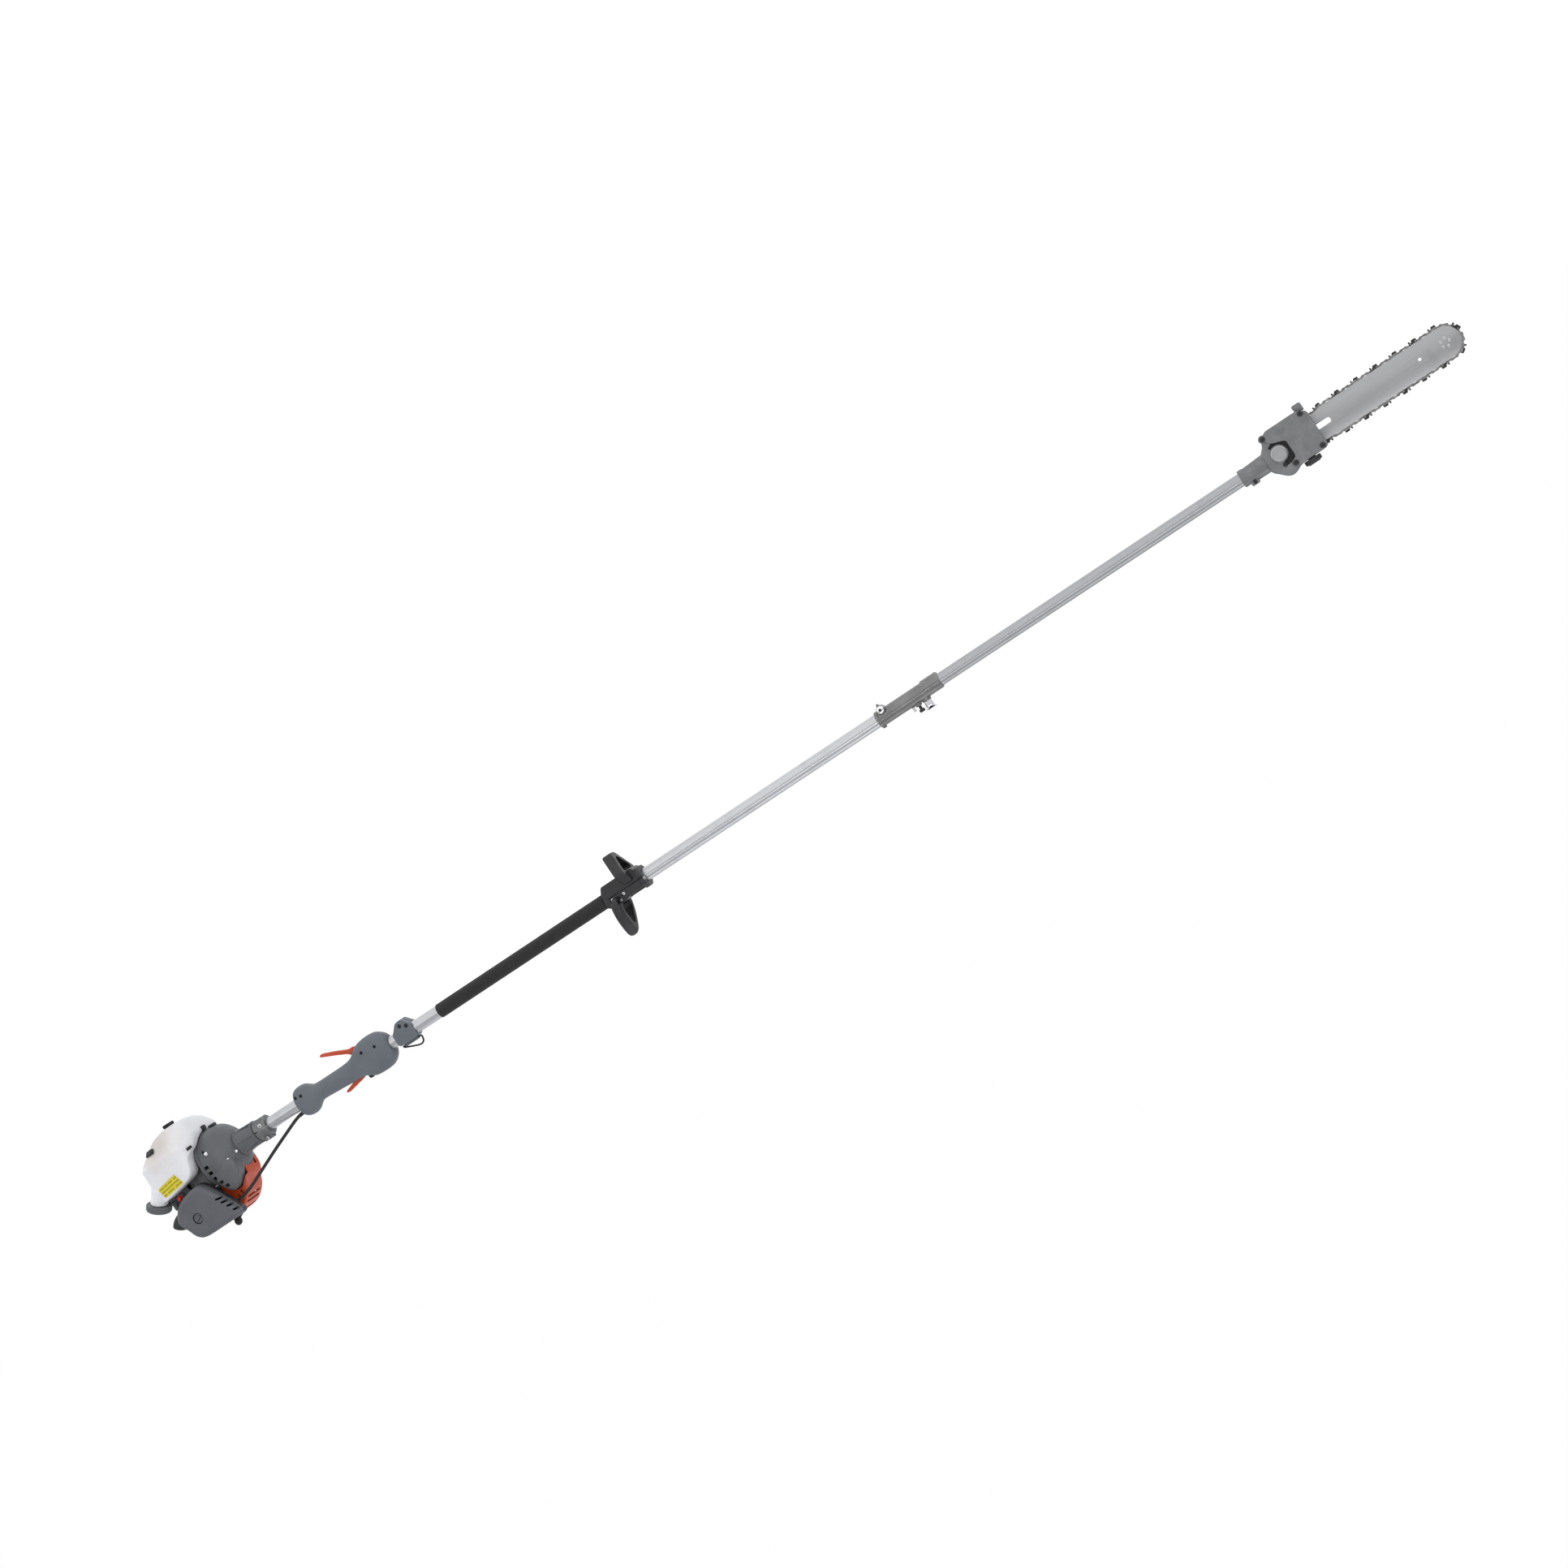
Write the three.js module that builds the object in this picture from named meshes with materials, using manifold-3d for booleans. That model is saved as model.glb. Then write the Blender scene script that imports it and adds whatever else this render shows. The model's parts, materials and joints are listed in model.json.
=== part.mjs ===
// Telescoping pole saw: a small two-stroke engine drives a bar and chain through a sliding shaft.
// Millimetres. +X runs along the pole to the saw, +Y to the user's left, +Z up.
// The origin is on the underside of the engine's foot pad, below the pole's axis.
import * as THREE from "three";
import { mergeVertices } from "three/addons/utils/BufferGeometryUtils.js";
import Module from "manifold-3d";

const wasm = await Module();
wasm.setup();

// ---- driving dimensions ----
const POLE_AXIS_Z = 117; // height of the pole's axis over the foot pad's underside
const GAP = 0.3; // air between neighbouring pieces

const REAR_TUBE = { outer: 13.5, inner: 12.6, start: 142, end: 1820 };
const FRONT_TUBE = { outer: 12.4, inner: 11.2, start: 1620, end: 2546 };
const REAR_SHAFT = { outer: 6, bore: 8.6, start: 112.3, end: 1600 };
const FRONT_ROD = { side: 8, start: 1500, end: 2566 };
const TUBE_BORE = REAR_TUBE.outer + GAP;

const CLAMP = { start: 166, end: 196, radius: 22 };
const NOSE = { start: 118.4, end: 165.6 };
const FAN = { rear: 46, front: 118, radius: 62, wall: 3 };
const CYLINDER = { x: 22, bore: 17.3, barrel: 21, fin: 33, base: 46.8, top: 90, port: 57.5 };
const CASE = { rear: -18, front: 42, halfWidth: 32, bottom: -42, top: 46 };
const COVER = { left: 36, right: -40, wall: 2.5 };
const FILTER = { inner: 60, outer: 92, wall: 2.5, back: 56 };
const SPARK_PLUG = { y: 0, z: 94.4, seat: 9, ball: 8 };
const PLUG_AXIS = new THREE.Vector3(2, 20, 42).normalize(); // leans left, towards the filter
const PRIMER = { x: -32, y: 60, z: 26, radius: 6.6 };
const STARTER = { rear: -86, front: -20, radius: 41, wall: 3 };
const TANK = { halfWidth: 85, channel: 46, floor: -54, bottom: -109.3 };
const FOOT = { halfLength: 8, halfWidth: 12, top: -109.6 };
const CAP = { x: -75, y: 69, z: 13, radius: 26, height: 15 };
const CAP_AXIS = new THREE.Vector3(-0.64, 0, 0.77).normalize();

const HANDLE = { halfWidth: 20 };
const FOAM = { start: 648, end: 1071, radius: 14.8 };
const LOOP = { start: 1072, flange: 1156, end: 1166, halfWidth: 22, split: 0.15 };
const COUPLER = { start: 1715, step: 1822, end: 1856, sleeve: 15.6, collar: 18 };

const HEAD = { neck: 2505, body: 2558, inner: -8.5, outer: 20, lid: 24 };
const GEAR_X = 2584; // crossing point of the pole's axis and the sprocket's axis
const BEVEL = { pinionTeeth: 12, gearTeeth: 15, pinion: 8.8, gear: 11, small: 0.65 };
const BAR = { y: -12, z: -3, half: 28.5, thickness: 3.6, noseX: 2919.5, shoulderX: 2692 };
const CHAIN = { width: 6.4, pitch: 38.1, link: 5.4, cutter: 8, clearance: 0.5 };
const SPROCKET = { radius: 15.4, width: 7 };
const STUD_X = 2648; // the bar's clamping stud
const FILLER = { x: 2627, y: 6 }; // oil filler, on top of the head
const HEX_SIDES = 6;

// ---- materials ----
const finish = (color, roughness, metalness) =>
  new THREE.MeshStandardMaterial({ color, roughness, metalness });
const rearAluminium = () => finish(0xbcbfc1, 0.35, 0.9);
const frontAluminium = () => finish(0x9fa2a5, 0.35, 0.9);
const blackPlastic = () => finish(0x1b1c1e, 0.55, 0);
const rubber = () => finish(0x121212, 0.85, 0);
const foam = () => finish(0x161616, 0.95, 0);
const darkGrey = () => finish(0x55585b, 0.5, 0);
const greyPlastic = () => finish(0x525559, 0.5, 0);
const handleGrey = () => finish(0x5c6268, 0.5, 0);
const orange = () => finish(0xc4532f, 0.42, 0);
const red = () => finish(0xc63a2c, 0.4, 0);
const tankWhite = () => finish(0xc6c7c8, 0.45, 0);
const castAluminium = () => finish(0x8b8d8f, 0.45, 0.8);
const steel = () => finish(0xb4b6b8, 0.3, 1);
const chrome = () => finish(0xd0d2d4, 0.12, 1);

// ---- solids ----
function solid(source) {
  let geometry = source.index ? source.toNonIndexed() : source.clone();
  geometry.deleteAttribute("normal");
  geometry.deleteAttribute("uv");
  geometry = mergeVertices(geometry, 1e-4);
  const index = geometry.index.array;
  const kept = [];
  for (let i = 0; i < index.length; i += 3) {
    const [a, b, c] = [index[i], index[i + 1], index[i + 2]];
    if (a !== b && b !== c && c !== a) kept.push(a, b, c);
  }
  const make = (triangles) =>
    new wasm.Manifold(
      new wasm.Mesh({
        numProp: 3,
        vertProperties: new Float32Array(geometry.attributes.position.array),
        triVerts: new Uint32Array(triangles),
      }),
    );
  const made = make(kept);
  if (made.volume() > 0) return made;
  for (let i = 0; i < kept.length; i += 3) [kept[i + 1], kept[i + 2]] = [kept[i + 2], kept[i + 1]];
  return make(kept);
}

const join = (...pieces) => pieces.reduce((sum, piece) => sum.add(piece));
const cut = (body, ...tools) => tools.reduce((rest, tool) => rest.subtract(tool), body);

function box(x0, x1, y0, y1, z0, z1) {
  const geometry = new THREE.BoxGeometry(x1 - x0, y1 - y0, z1 - z0);
  geometry.translate((x0 + x1) / 2, (y0 + y1) / 2, (z0 + z1) / 2);
  return solid(geometry);
}

const DIRECTIONS = {
  x: new THREE.Vector3(1, 0, 0),
  y: new THREE.Vector3(0, 1, 0),
  z: new THREE.Vector3(0, 0, 1),
};

// A turned piece. Its profile is [place along the axis, radius] pairs, from `centre` along `axis`.
function turned(profile, axis = "x", centre = [0, 0, 0], sides = 20) {
  const points = profile.map(([along, radius]) => new THREE.Vector2(radius, along));
  const geometry = new THREE.LatheGeometry(points, sides);
  const direction = typeof axis === "string" ? DIRECTIONS[axis] : axis;
  const turn = new THREE.Quaternion().setFromUnitVectors(DIRECTIONS.y, direction);
  geometry.applyQuaternion(turn);
  geometry.translate(...centre);
  return solid(geometry);
}

const rod = (radius, from, to, axis = "x", centre = [0, 0, 0], sides = 20) =>
  turned([[from, 0], [from, radius], [to, radius], [to, 0]], axis, centre, sides);

const ring = (outer, inner, from, to, axis = "x", centre = [0, 0, 0], sides = 20) =>
  turned(
    [[from, inner], [from, outer], [to, outer], [to, inner], [from, inner]],
    axis,
    centre,
    sides,
  );

// A closed outline through the corners given, each rounded over `round` of its sides.
function outline(corners, round = 0) {
  const points = corners.map(([x, y]) => new THREE.Vector2(x, y));
  const shape = new THREE.Shape();
  points.forEach((corner, i) => {
    const before = points[(i + points.length - 1) % points.length];
    const after = points[(i + 1) % points.length];
    const back = Math.min(round, corner.distanceTo(before) / 2.4);
    const on = Math.min(round, corner.distanceTo(after) / 2.4);
    const enter = corner.clone().add(before.clone().sub(corner).setLength(back));
    const leave = corner.clone().add(after.clone().sub(corner).setLength(on));
    if (round === 0) {
      if (i === 0) shape.moveTo(corner.x, corner.y);
      else shape.lineTo(corner.x, corner.y);
      return;
    }
    if (i === 0) shape.moveTo(enter.x, enter.y);
    else shape.lineTo(enter.x, enter.y);
    shape.quadraticCurveTo(corner.x, corner.y, leave.x, leave.y);
  });
  shape.closePath();
  return shape;
}

function extruded(shape, depth, bevel) {
  return new THREE.ExtrudeGeometry(shape, {
    depth: depth - 2 * bevel,
    bevelEnabled: bevel > 0,
    bevelThickness: bevel,
    bevelSize: bevel,
    bevelOffset: -bevel,
    bevelSegments: 1,
    curveSegments: 2,
    steps: 1,
  });
}

// An outline in X and Z, thick in Y from y0 to y1.
function slab(corners, y0, y1, { round = 0, bevel = 0 } = {}) {
  const shape = corners instanceof THREE.Shape ? corners : outline(corners, round);
  const geometry = extruded(shape, y1 - y0, bevel);
  geometry.rotateX(Math.PI / 2);
  geometry.translate(0, y1 - bevel, 0);
  return solid(geometry);
}

// An outline in Y and Z, thick in X from x0 to x1. `lean` moves it back along X with height.
function frameOf(shape, x0, x1, bevel, lean = 0) {
  const geometry = extruded(shape, x1 - x0, bevel);
  geometry.applyMatrix4(new THREE.Matrix4().set(0, 0, 1, 0, 1, 0, 0, 0, 0, 1, 0, 0, 0, 0, 0, 1));
  geometry.translate(x0 + bevel, 0, 0);
  geometry.applyMatrix4(new THREE.Matrix4().set(1, 0, -lean, 0, 0, 1, 0, 0, 0, 0, 1, 0, 0, 0, 0, 1));
  return solid(geometry);
}

function circle(radius, sides) {
  const shape = new THREE.Shape();
  for (let i = 0; i < sides; i++) {
    const angle = (2 * Math.PI * i) / sides;
    const [x, y] = [radius * Math.cos(angle), radius * Math.sin(angle)];
    if (i === 0) shape.moveTo(x, y);
    else shape.lineTo(x, y);
  }
  shape.closePath();
  return shape;
}

// A round wire or cable along a smooth curve through the points given.
function wire(points, radius, steps, sides = 8) {
  const path = new THREE.CatmullRomCurve3(points.map((p) => new THREE.Vector3(...p)));
  return solid(
    new THREE.ExtrudeGeometry(circle(radius, sides), {
      steps,
      extrudePath: path,
      bevelEnabled: false,
    }),
  );
}

const root = new THREE.Group();
const assembly = new THREE.Group(); // everything is placed from the pole's axis
assembly.position.z = POLE_AXIS_Z;
root.add(assembly);

function node(name, made, material) {
  const { vertProperties, triVerts } = made.getMesh();
  const geometry = new THREE.BufferGeometry();
  geometry.setAttribute("position", new THREE.BufferAttribute(vertProperties, 3));
  geometry.setIndex(new THREE.BufferAttribute(triVerts, 1));
  geometry.computeVertexNormals();
  const mesh = new THREE.Mesh(geometry, material);
  mesh.name = name;
  assembly.add(mesh);
  return made;
}

// ---- pole and shafts ----
node(
  "rear_pole_tube",
  ring(REAR_TUBE.outer, REAR_TUBE.inner, REAR_TUBE.start, REAR_TUBE.end),
  rearAluminium(),
);
node(
  "front_pole_tube",
  ring(FRONT_TUBE.outer, FRONT_TUBE.inner, FRONT_TUBE.start, FRONT_TUBE.end),
  frontAluminium(),
);
node("foam_grip_sleeve", ring(FOAM.radius, TUBE_BORE, FOAM.start, FOAM.end), foam());

// The rear shaft is round outside and square inside; the front rod slides in it.
function rearDriveShaft() {
  const half = REAR_SHAFT.bore / 2;
  const bore = box(REAR_SHAFT.start + 60, REAR_SHAFT.end + 1, -half, half, -half, half);
  return cut(rod(REAR_SHAFT.outer + 0.6, REAR_SHAFT.start, REAR_SHAFT.end, "x", [0, 0, 0], 18), bore);
}
node("rear_drive_shaft", rearDriveShaft(), steel());

// Teeth are plain lobes on a cone whose tips stay clear of the other gear's.
function toothedCone(teeth, radius, small, height, depth) {
  const shape = new THREE.Shape();
  const corners = teeth * 4;
  for (let i = 0; i < corners; i++) {
    const angle = (2 * Math.PI * i) / corners;
    const r = i % 4 < 2 ? radius : radius - depth;
    const [x, y] = [r * Math.cos(angle), r * Math.sin(angle)];
    if (i === 0) shape.moveTo(x, y);
    else shape.lineTo(x, y);
  }
  shape.closePath();
  const geometry = new THREE.ExtrudeGeometry(shape, { depth: height, bevelEnabled: false });
  const position = geometry.attributes.position;
  for (let i = 0; i < position.count; i++) {
    if (position.getZ(i) < height / 2) continue;
    position.setXY(i, position.getX(i) * small, position.getY(i) * small);
  }
  return geometry;
}

function frontDriveRod() {
  const half = FRONT_ROD.side / 2;
  const square = box(FRONT_ROD.start, FRONT_ROD.end, -half, half, -half, half);
  const large = GEAR_X - BEVEL.gear;
  const cone = toothedCone(
    BEVEL.pinionTeeth,
    BEVEL.pinion - 0.7,
    BEVEL.small,
    BEVEL.gear * (1 - BEVEL.small),
    1.6,
  );
  cone.rotateY(Math.PI / 2);
  cone.translate(large, 0, 0);
  const hub = rod(6.5, 2562, large + 0.5, "x", [0, 0, 0], 12);
  return join(square, hub, solid(cone));
}
node("front_drive_rod", frontDriveRod(), steel());

for (const [i, x] of [420, 1000].entries())
  node(
    `rear_shaft_bush_${i + 1}`,
    ring(REAR_TUBE.inner - GAP, REAR_SHAFT.outer + 1, x, x + 28, "x", [0, 0, 0], 18),
    blackPlastic(),
  );
node(
  "front_shaft_bush",
  ring(FRONT_TUBE.inner - GAP, 6.2, 2200, 2228, "x", [0, 0, 0], 18),
  blackPlastic(),
);

// ---- engine ----
function poleClamp() {
  const body = ring(CLAMP.radius, TUBE_BORE, CLAMP.start, CLAMP.end);
  const lugs = box(CLAMP.start + 5, CLAMP.end - 5, -9, 9, 15, 27);
  const bolt = rod(3.2, -14, 14, "y", [(CLAMP.start + CLAMP.end) / 2, 0, 22], 12);
  const slit = box(CLAMP.start - 1, CLAMP.end + 1, -1, 1, 0, 20.5);
  const bore = rod(TUBE_BORE, CLAMP.start - 1, CLAMP.end + 1);
  return join(cut(join(body, lugs), bore, slit), bolt);
}
node("engine_pole_clamp", poleClamp(), castAluminium());

node(
  "clutch_housing",
  turned([
    [NOSE.start, 9],
    [NOSE.start, 28.5],
    [NOSE.start + 20, 27],
    [NOSE.end - 4, 25],
    [NOSE.end, 22],
    [NOSE.end, TUBE_BORE],
    [REAR_TUBE.start - GAP, TUBE_BORE],
    [REAR_TUBE.start - GAP, 9],
    [NOSE.start, 9],
  ]),
  darkGrey(),
);

// Fan housing: a dome over clutch and fan, with an air duct up the left side.
const DOME = [[118, 29], [109, 44], [94, 58], [78, 62], [46, 62]];
const dome = (grow) =>
  turned([[118 + grow, 0], ...DOME.map(([x, r]) => [x, r + grow]), [46 - grow, 62 + grow], [46 - grow, 0]]);
const DUCT = [[46, 12], [50, 30], [62, 60], [80, 75], [98, 71], [112, 56], [116, 38], [112, 14]];
const DUCT_ROOM = [[44, 10], [48, 31], [60, 61], [79, 77], [99, 73], [114, 58], [119, 38], [119, 10]];
const DUCT_SIDE = { inner: 22, outer: 58 };
function fanHousing() {
  const hollow = turned([
    [119, 0], [119, 20], [114, 26], [106, 41], [92, 54.5], [77, 59], [45, 59], [45, 0],
  ]);
  const duct = slab(DUCT, DUCT_SIDE.inner, DUCT_SIDE.outer, { round: 9, bevel: 2 });
  const vents = [0, 1, 2].map((i) => box(50 + 9 * i, 54 + 9 * i, 50, 70, -16, 12));
  return cut(join(dome(0), duct), hollow, ...vents);
}
node("fan_housing", fanHousing(), darkGrey());

function crankcase() {
  const { rear, front, halfWidth, bottom, top } = CASE;
  const body = slab(
    [[rear, bottom], [rear, top], [front, top], [front, bottom]],
    -halfWidth,
    halfWidth,
    { round: 10, bevel: 3 },
  );
  const flange = box(-6, 50, -26, 26, 36, top);
  const chamber = rod(24.5, rear + 10, front - 10);
  const bearings = rod(6.6, rear - 1, front + 1, "x", [0, 0, 0], 12);
  const mouth = rod(18, 0, top + 1, "z", [CYLINDER.x, 0, 0], 18);
  return cut(join(body, cut(flange, box(43.5, 51, -27, 27, 30, 50))), chamber, bearings, mouth);
}
node("crankcase", crankcase(), castAluminium());

function crankshaft() {
  const web = (x) => rod(22, x, x + 7, "x", [0, 0, 0], 18);
  const relief = (x) => box(x - 1, x + 8, -25, 25, 14, 25);
  const pin = rod(5, 12, 20, "x", [0, 0, 10], 12);
  const rearEnd = rod(6, -60, 8, "x", [0, 0, 0], 12);
  const frontEnd = rod(6, 19, 98, "x", [0, 0, 0], 12);
  return join(
    cut(web(6), relief(6)),
    cut(web(19), relief(19)),
    pin,
    rearEnd,
    frontEnd,
  );
}
node("crankshaft", crankshaft(), steel());

function flywheelFan() {
  const disc = ring(46, 6.3, 52, 58, "x", [0, 0, 0], 18);
  const hub = ring(14, 6.3, 57, 74, "x", [0, 0, 0], 18);
  const blades = [];
  for (let i = 0; i < 6; i++) {
    const blade = new THREE.BoxGeometry(16, 3, 27);
    blade.translate(65, 0, 20);
    blade.rotateX((2 * Math.PI * i) / 6);
    blades.push(solid(blade));
  }
  return join(disc, hub, ...blades);
}
node("flywheel_fan", flywheelFan(), castAluminium());

function clutchShoes() {
  const disc = ring(25.5, 6.3, 82, 94, "x", [0, 0, 0], 18);
  const splits = [box(81, 95, -1.5, 1.5, 12, 30), box(81, 95, -1.5, 1.5, -30, -12)];
  return cut(disc, ...splits);
}
node("clutch_shoes", clutchShoes(), steel());

node(
  "clutch_drum",
  turned([
    [80, 27], [80, 29.5], [104, 29.5], [106, 8], [112, 8], [112, 0], [101, 0], [101, 27], [80, 27],
  ]),
  steel(),
);

node("piston", rod(16.9, 62, 84, "z", [CYLINDER.x, 0, 0], 18), castAluminium());

function cylinder() {
  const { x, bore, barrel, fin, base, top } = CYLINDER;
  const profile = [[base, 0], [base, 25], [base + 4, 25], [base + 4, barrel]];
  for (let z = 64; z < top - 3; z += 6) profile.push([z, barrel], [z, fin], [z + 2, fin], [z + 2, barrel]);
  profile.push([top - 2, 20], [top, 14], [top, 0]);
  const body = turned(profile, "z", [x, 0, 0], 20);
  const intake = rod(11, 0, 37.4, "y", [x, 0, CYLINDER.port], 12);
  const exhaust = rod(11, -42.4, 0, "y", [x, 0, CYLINDER.port], 12);
  const chamber = rod(bore, base - 1, top - 5, "z", [x, 0, 0], 20);
  const ports = rod(6, -50, 50, "y", [x, 0, CYLINDER.port], 12);
  const plugBoss = rod(SPARK_PLUG.seat, -9, -GAP, PLUG_AXIS, [x, SPARK_PLUG.y, SPARK_PLUG.z], 12);
  return cut(join(body, intake, exhaust, plugBoss), chamber, ports);
}
node("cylinder", cylinder(), castAluminium());

// The plug and its rubber boot, whose round end stands out of the cover's top.
node(
  "spark_plug",
  turned(
    [
      [0, 0], [0, SPARK_PLUG.seat], [5, SPARK_PLUG.seat], [6, 6], [9, 6], [9, 8.5], [22, 8.5], [24, 5.5],
      [31, 5.5], [34, 7], [38, SPARK_PLUG.ball], [42, SPARK_PLUG.ball], [46, 6.4], [49, 3], [49.7, 0],
    ],
    PLUG_AXIS,
    [CYLINDER.x, SPARK_PLUG.y, SPARK_PLUG.z],
    16,
  ),
  rubber(),
);

const COVER_OUTLINE = [
  [109, 20], [108, 59], [94, 77], [86, 95], [63, 115], [40, 120], [-22, 120], [-33, 108], [-33, 20],
];
const COVER_INSIDE = [
  [106.5, 0], [105.5, 58], [91.7, 75.6], [83.8, 93.2], [62, 112.6], [39.7, 117.5],
  [-21, 117.5], [-30.5, 107], [-30.5, 0],
];
function cylinderCover() {
  const { left, right, wall } = COVER;
  const outside = slab(COVER_OUTLINE, right, left, { round: 8, bevel: 3 });
  const inside = slab(COVER_INSIDE, right + wall, left - wall, { round: 7, bevel: 1 });
  const below = slab([[-60, 0], [-60, 50], [60, 50], [62, 20], [110, 28], [110, 0]], -60, 60);
  const intake = box(0, 45, 20, 50, 40, 84);
  const exhaust = box(-4, 48, -60, -20, 40, 84);
  const slots = [-20, -3, 46].map((x) => box(x, x + 12, -30, 26, 112, 122));
  const bootHole = rod(10.5, 10, 60, PLUG_AXIS, [CYLINDER.x, SPARK_PLUG.y, SPARK_PLUG.z], 20);
  const duct = slab(DUCT_ROOM, DUCT_SIDE.inner - 1, DUCT_SIDE.outer);
  return cut(outside, inside, below, dome(0.4), duct, intake, exhaust, bootHole, ...slots);
}
node("cylinder_cover", cylinderCover(), orange());

function muffler() {
  const can = slab([[-8, 42], [-8, 96], [56, 96], [56, 42]], -80, -42.7, { round: 14, bevel: 6 });
  const outlet = ring(8, 5.5, -92, -70, "y", [40, 0, 56], 12);
  return cut(join(can, outlet), rod(5.5, -93, -72, "y", [40, 0, 56], 12));
}
node("muffler", muffler(), steel());

function carburettor() {
  const body = slab([[6, 44], [6, 74], [38, 74], [38, 44]], 37.8, 55.6, { round: 5, bevel: 2 });
  const bowl = rod(9, 34, 45, "z", [22, 46.7, 0], 20);
  const barrel = rod(6, 73, 80, "z", [28, 46.7, 0], 12);
  return cut(join(body, bowl, barrel), rod(7, 30, 60, "y", [CYLINDER.x, 0, CYLINDER.port], 12));
}
node("carburettor", carburettor(), castAluminium());

// Air filter: back plate, foam element and cover, on the left side.
const FILTER_OUTLINE = [
  [88, 121], [-18, 122], [-34, 110], [-41, 90], [-52, 74], [-50, 60],
  [-34, 39], [-9, 28], [28, 21], [42, 33], [65, 71], [78, 98],
];
const shrunk = (corners, by) => {
  const [cx, cz] = [18, 76];
  return corners.map(([x, z]) => {
    const reach = Math.hypot(x - cx, z - cz);
    const k = (reach - by) / reach;
    return [cx + (x - cx) * k, cz + (z - cz) * k];
  });
};
function filterBase() {
  const plate = slab(shrunk(FILTER_OUTLINE, 4), FILTER.back, FILTER.inner - GAP, { round: 8 });
  const ear = slab([[-45, 17.3], [-45, 66], [-19, 66], [-19, 17.3]], FILTER.back, FILTER.inner - GAP, {
    round: 5,
  });
  const mouth = rod(7, 50, 64, "y", [CYLINDER.x, 0, CYLINDER.port], 12);
  const primerHole = rod(PRIMER.radius + 0.6, 50, 64, "y", [PRIMER.x, 0, PRIMER.z], 18);
  return cut(join(plate, ear), mouth, primerHole);
}
node("air_filter_base", filterBase(), blackPlastic());
node(
  "air_filter_element",
  slab([[-20, 44], [-26, 70], [-14, 100], [60, 100], [48, 66], [28, 44]], 60.4, 78, { round: 8 }),
  foam(),
);
const KNOB = { x: -4, z: 80, radius: 11 };
function filterCover() {
  const outside = slab(FILTER_OUTLINE, FILTER.inner, FILTER.outer, { round: 10, bevel: 3 });
  const inside = slab(shrunk(FILTER_OUTLINE, 5), FILTER.inner - 1, FILTER.outer - 3, { round: 8 });
  const seat = rod(KNOB.radius + 0.6, 84, 94, "y", [KNOB.x, 0, KNOB.z], 18);
  const floor = rod(KNOB.radius + 3, 82, 91.5, "y", [KNOB.x, 0, KNOB.z], 18);
  const vents = [0, 1, 2, 3].map((i) => {
    const vent = new THREE.BoxGeometry(11, 12, 2.6);
    vent.rotateY(0.5);
    vent.translate(62 - 7 * i, 92, 94 - 12 * i);
    return solid(vent);
  });
  return cut(join(cut(outside, inside), floor), seat, ...vents);
}
node("air_filter_cover", filterCover(), greyPlastic());
node(
  "air_filter_knob",
  join(
    rod(KNOB.radius, 84.4, 91, "y", [KNOB.x, 0, KNOB.z], 18),
    box(KNOB.x - 9, KNOB.x + 9, 90, 94, KNOB.z - 2, KNOB.z + 2),
  ),
  greyPlastic(),
);
node(
  "choke_lever",
  join(
    rod(4, 50.5, 55.6, "y", [-24, 0, 100], 12),
    slab([[-22, 97], [-22, 103], [-52, 113], [-52, 107]], 50.5, 53.5, { round: 2 }),
  ),
  blackPlastic(),
);
node(
  "primer_bulb",
  turned(
    [
      [0, 0], [0, PRIMER.radius], [2, PRIMER.radius], [5, PRIMER.radius - 0.8],
      [7.5, PRIMER.radius - 2.8], [8.5, 0],
    ],
    "y",
    [PRIMER.x, PRIMER.y, PRIMER.z],
    18,
  ),
  red(),
);

// ---- recoil starter ----
const ROPE = { x: -69, y: 30 };
function starterHousing() {
  const { rear, front, radius, wall } = STARTER;
  const shell = turned([
    [rear, 0], [rear, radius - 8], [rear + 6, radius], [front, radius], [front, radius - wall],
    [rear + 7, radius - wall], [rear + 3, radius - 9], [rear + wall, 0],
  ]);
  const guide = rod(6, 25, 44, "z", [ROPE.x, ROPE.y, 0], 12);
  const hole = rod(2.6, 0, 50, "z", [ROPE.x, ROPE.y, 0], 12);
  const slots = [-2, -1, 0, 1, 2].map((i) => box(rear - 2, rear + 4, -22, 22, 9 * i - 2, 9 * i + 2));
  const cavity = rod(radius - wall - 0.1, rear + 8, front + 1);
  return cut(join(shell, cut(guide, cavity)), hole, ...slots);
}
node("starter_housing", starterHousing(), darkGrey());
node(
  "starter_pulley",
  turned([
    [-76, 6.6], [-76, 30], [-73, 30], [-71, 26], [-67, 26], [-65, 30], [-62, 30], [-62, 6.6],
    [-76, 6.6],
  ], "x", [0, 0, 0], 18),
  blackPlastic(),
);
node(
  "starter_rope",
  rod(1.8, 10, 56.7, "z", [ROPE.x, ROPE.y, 0], 8),
  foam(),
);
function starterGrip() {
  const place = [ROPE.x, ROPE.y, 0];
  const bar = slab(
    [[-97, 71], [-90, 61], [-76, 52], [-64, 51], [-60, 66], [-62, 86], [-70, 88], [-86, 82]],
    12,
    48,
    { round: 6, bevel: 2.5 },
  );
  return cut(join(bar, rod(5, 48, 60, "z", place, 12)), rod(2.2, 40, 57, "z", place, 8));
}
node("starter_grip", starterGrip(), blackPlastic());

// ---- fuel tank ----
const TANK_OUTLINE = [
  [110, -66], [110, -120], [-110, -120], [-110, -20], [-62, 17], [-46, 17], [-4, 11], [24, 5],
  [37, -9], [40, -40], [42, -66],
];
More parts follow.
